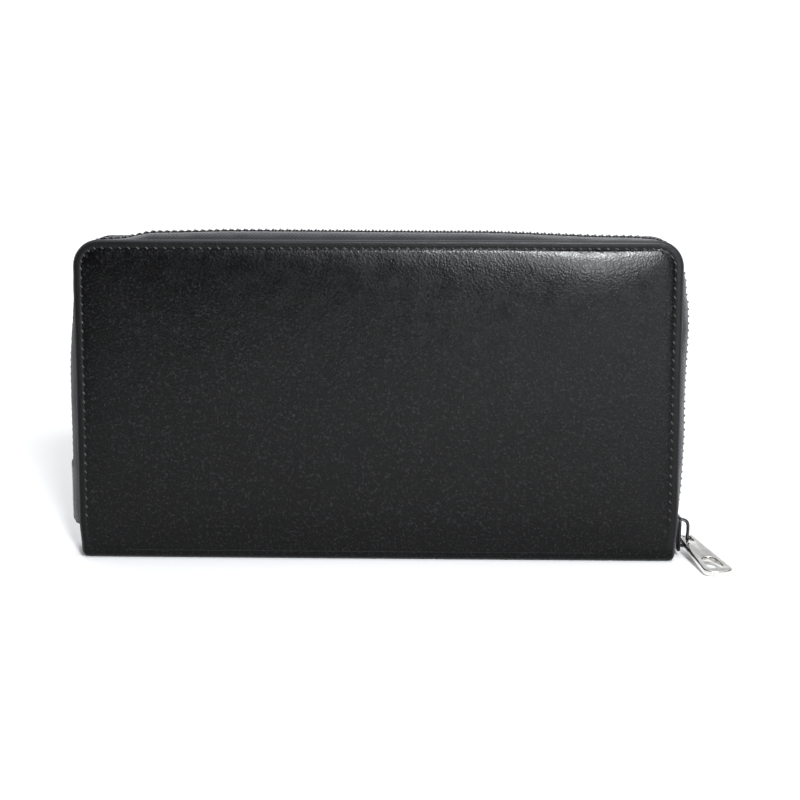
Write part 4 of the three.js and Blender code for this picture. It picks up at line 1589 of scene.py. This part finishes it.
@dataclass
class Studio:
    """A white table that sweeps up behind, soft lights and the camera."""

    distance: float = 600.0
    elevation: float = 8.5
    azimuth: float = 2.0
    aim: Point = (0.0, 0.0, 52.0)
    lens: float = 81.9
    shift: Spot = (0.0275, -0.003)
    sensor: float = 36.0
    world: float = 0.22

    def sweep(self) -> None:
        """The table and backdrop in one smooth sheet."""
        deselect()
        bpy.ops.mesh.primitive_plane_add(size=1)
        floor = bpy.context.object
        floor.name = floor.data.name = "studio_sweep"
        wide, front, back = 4.0, -2.5, 1.6
        for vertex in floor.data.vertices:
            vertex.co = (vertex.co.x * 2 * wide, front if vertex.co.y < 0 else back, 0)
        bpy.ops.object.mode_set(mode="EDIT")
        bpy.ops.mesh.select_all(action="DESELECT")
        bpy.ops.mesh.select_mode(type="EDGE")
        bpy.ops.object.mode_set(mode="OBJECT")
        for edge in floor.data.edges:
            edge.select = all(floor.data.vertices[i].co.y > 0 for i in edge.vertices)
        bpy.ops.object.mode_set(mode="EDIT")
        bpy.ops.mesh.extrude_region_move(TRANSFORM_OT_translate={"value": (0, 0, 2.4)})
        bpy.ops.mesh.select_all(action="DESELECT")
        bpy.ops.object.mode_set(mode="OBJECT")
        for edge in floor.data.edges:
            ends = [floor.data.vertices[i].co for i in edge.vertices]
            edge.select = all(co.y > 0 and co.z < 0.1 for co in ends)
        bpy.ops.object.mode_set(mode="EDIT")
        bpy.ops.mesh.bevel(offset=0.9, segments=16, affect="EDGES")
        bpy.ops.object.mode_set(mode="OBJECT")
        smooth(floor, 60)
        r = Recipe("studio_white")
        grain = r.noise(r.objects(), 3.0, 2.0)
        white = r.tint(grain, (0.93, 0.93, 0.93), (0.95, 0.95, 0.95))
        r.set(Base_Color=white, Roughness=0.9, Specular_IOR_Level=0.1)
        floor.data.materials.append(r.material)

    def light(
        self,
        name: str,
        at: Point,
        to: Point,
        size: Spot,
        watts: float,
        tint: Point = (1, 1, 1),
        spread: float = 180,
    ) -> None:
        """Hang one soft box.

        Args:
            name: the light's name.
            at: its place in metres.
            to: the point that it faces, in metres.
            size: its width and height in metres.
            watts: its power.
            tint: its colour.
            spread: how wide its beam is, in degrees.
        """
        lamp = bpy.data.lights.new(name, "AREA")
        lamp.spread = math.radians(spread)
        lamp.shape = "RECTANGLE"
        lamp.size, lamp.size_y = size
        lamp.energy = watts
        lamp.color = tint
        box = bpy.data.objects.new(name, lamp)
        box.location = at
        box.rotation_euler = (Vector(to) - Vector(at)).to_track_quat("-Z", "Y").to_euler()
        bpy.context.collection.objects.link(box)

    def camera(self) -> None:
        """Set the camera up in front of the back cover."""
        lens = bpy.data.cameras.new("camera")
        lens.lens = self.lens
        lens.sensor_width = self.sensor
        lens.shift_x, lens.shift_y = self.shift
        lens.clip_start, lens.clip_end = 0.01, 20.0
        eye = bpy.data.objects.new("camera", lens)
        lift, turn = math.radians(self.elevation), math.radians(self.azimuth)
        aim = Vector(self.aim) * MM
        level = math.cos(lift)
        back = Vector((level * math.sin(turn), -level * math.cos(turn), math.sin(lift))) * self.distance * MM
        eye.location = aim + back
        eye.rotation_euler = (-back).to_track_quat("-Z", "Y").to_euler()
        bpy.context.collection.objects.link(eye)
        bpy.context.scene.camera = eye

    def build(self) -> None:
        """Set the studio up."""
        self.sweep()
        self.light("key_right", (0.13, -0.73, 0.43), (0.07, -0.013, 0.1), (0.11, 0.1), 8.5, (0.96, 0.98, 1))
        self.light("key_low", (0.135, -0.73, 0.2), (0.07, -0.013, 0.09), (0.05, 0.12), 1.8, (0.96, 0.98, 1))
        self.light("front_strip", (0.3, -0.76, 0.36), (0.05, 0, 0.09), (0.8, 0.06), 1.0, (0.97, 0.98, 1))
        self.light("right_card", (0.4, -0.88, 0.14), (0.05, 0, 0.05), (0.14, 0.3), 0.9, (0.95, 0.97, 1))
        self.light("wash", (0.0, 1.15, 1.5), (0, 1.1, 0), (1.8, 1.5), 12.0, (1, 1, 1), 90)
        self.light("wash_near", (0.0, -0.02, 0.9), (0, -0.02, 0), (1.1, 0.3), 0.4, (1, 1, 1), 60)
        world = bpy.data.worlds.new("studio")
        world.use_nodes = True
        background = world.node_tree.nodes["Background"]
        background.inputs[0].default_value = (0.9, 0.94, 1.0, 1)
        background.inputs[1].default_value = self.world
        bpy.context.scene.world = world
        bpy.context.scene.view_settings.view_transform = "Standard"
        self.camera()
        log.info("studio")


# ---------------------------------------------------------------- the wallet


def build_sliders(finishes: Finishes, line: ZipLine) -> None:
    """Make both sliders and both pullers.

    Args:
        finishes: the wallet's finishes.
        line: the line of the main zip.
    """
    at = Vector((line.half + line.slider_out, 0, line.slider_height)) * MM
    arch = ((0.1, -4.2), (1.3, -4.45), (2.5, -4.25), (2.74, -3.0), (2.74, -1.2))
    arch += ((2.8, 1.2), (2.7, 3.2), (1.7, 4.4), (0.1, 4.5))
    Slider(
        name="slider",
        body="zip_slider",
        nodes=("slider_body", "slider_bail"),
        place=Matrix.Translation(at) @ Matrix.Rotation(math.atan(line.tilt), 4, "Y"),
        finishes=finishes,
        body_finish=finishes.black_metal,
        length=11.2,
        half=4.7,
        plate=0.9,
        clear=1.2,
        wedge=1.5,
        gap=1.02,
        lip=0.6,
        bail=arch,
        wire=0.55,
    ).build()
    MainPuller(finishes).build()
    puller = CoinPuller(finishes)
    hoop = ((0.1, -2.6), (1.0, -2.7), (2.0, -2.2), (2.1, -0.9), (2.1, 0.9), (2.0, 2.2), (1.0, 2.7), (0.1, 2.6))
    Slider(
        name="coin_slider",
        body="coin_slider",
        nodes=("coin_slider_body", "coin_slider_bail"),
        place=Matrix(((0, 0, -1, puller.at * MM), (0, 1, 0, 0), (1, 0, 0, CoinPocket.chain_z * MM), (0, 0, 0, 1))),
        finishes=finishes,
        body_finish=finishes.dark_nickel,
        length=8.0,
        half=3.4,
        plate=0.7,
        clear=0.95,
        wedge=0.8,
        gap=0.68,
        lip=0.55,
        bail=hoop,
        wire=0.4,
    ).build()
    puller.build()


def main() -> None:
    """Build the wallet and the studio."""
    finishes = Finishes()
    sewing = Sewing(finishes)
    line = ZipLine()
    Studio().build()
    for side in Side:
        Cover(side, line, finishes).build()
        Inside(side, finishes, sewing).build()
    MainZip(line, finishes).build()
    build_sliders(finishes, line)
    CoinPocket(finishes, sewing).build()
    finishes.dress(frame["nodes"]["spine_board"], finishes.board)
    log.info("sizes written")


if __name__ == "__main__":
    logging.basicConfig(level=logging.INFO, format="%(name)s: %(message)s")
    main()
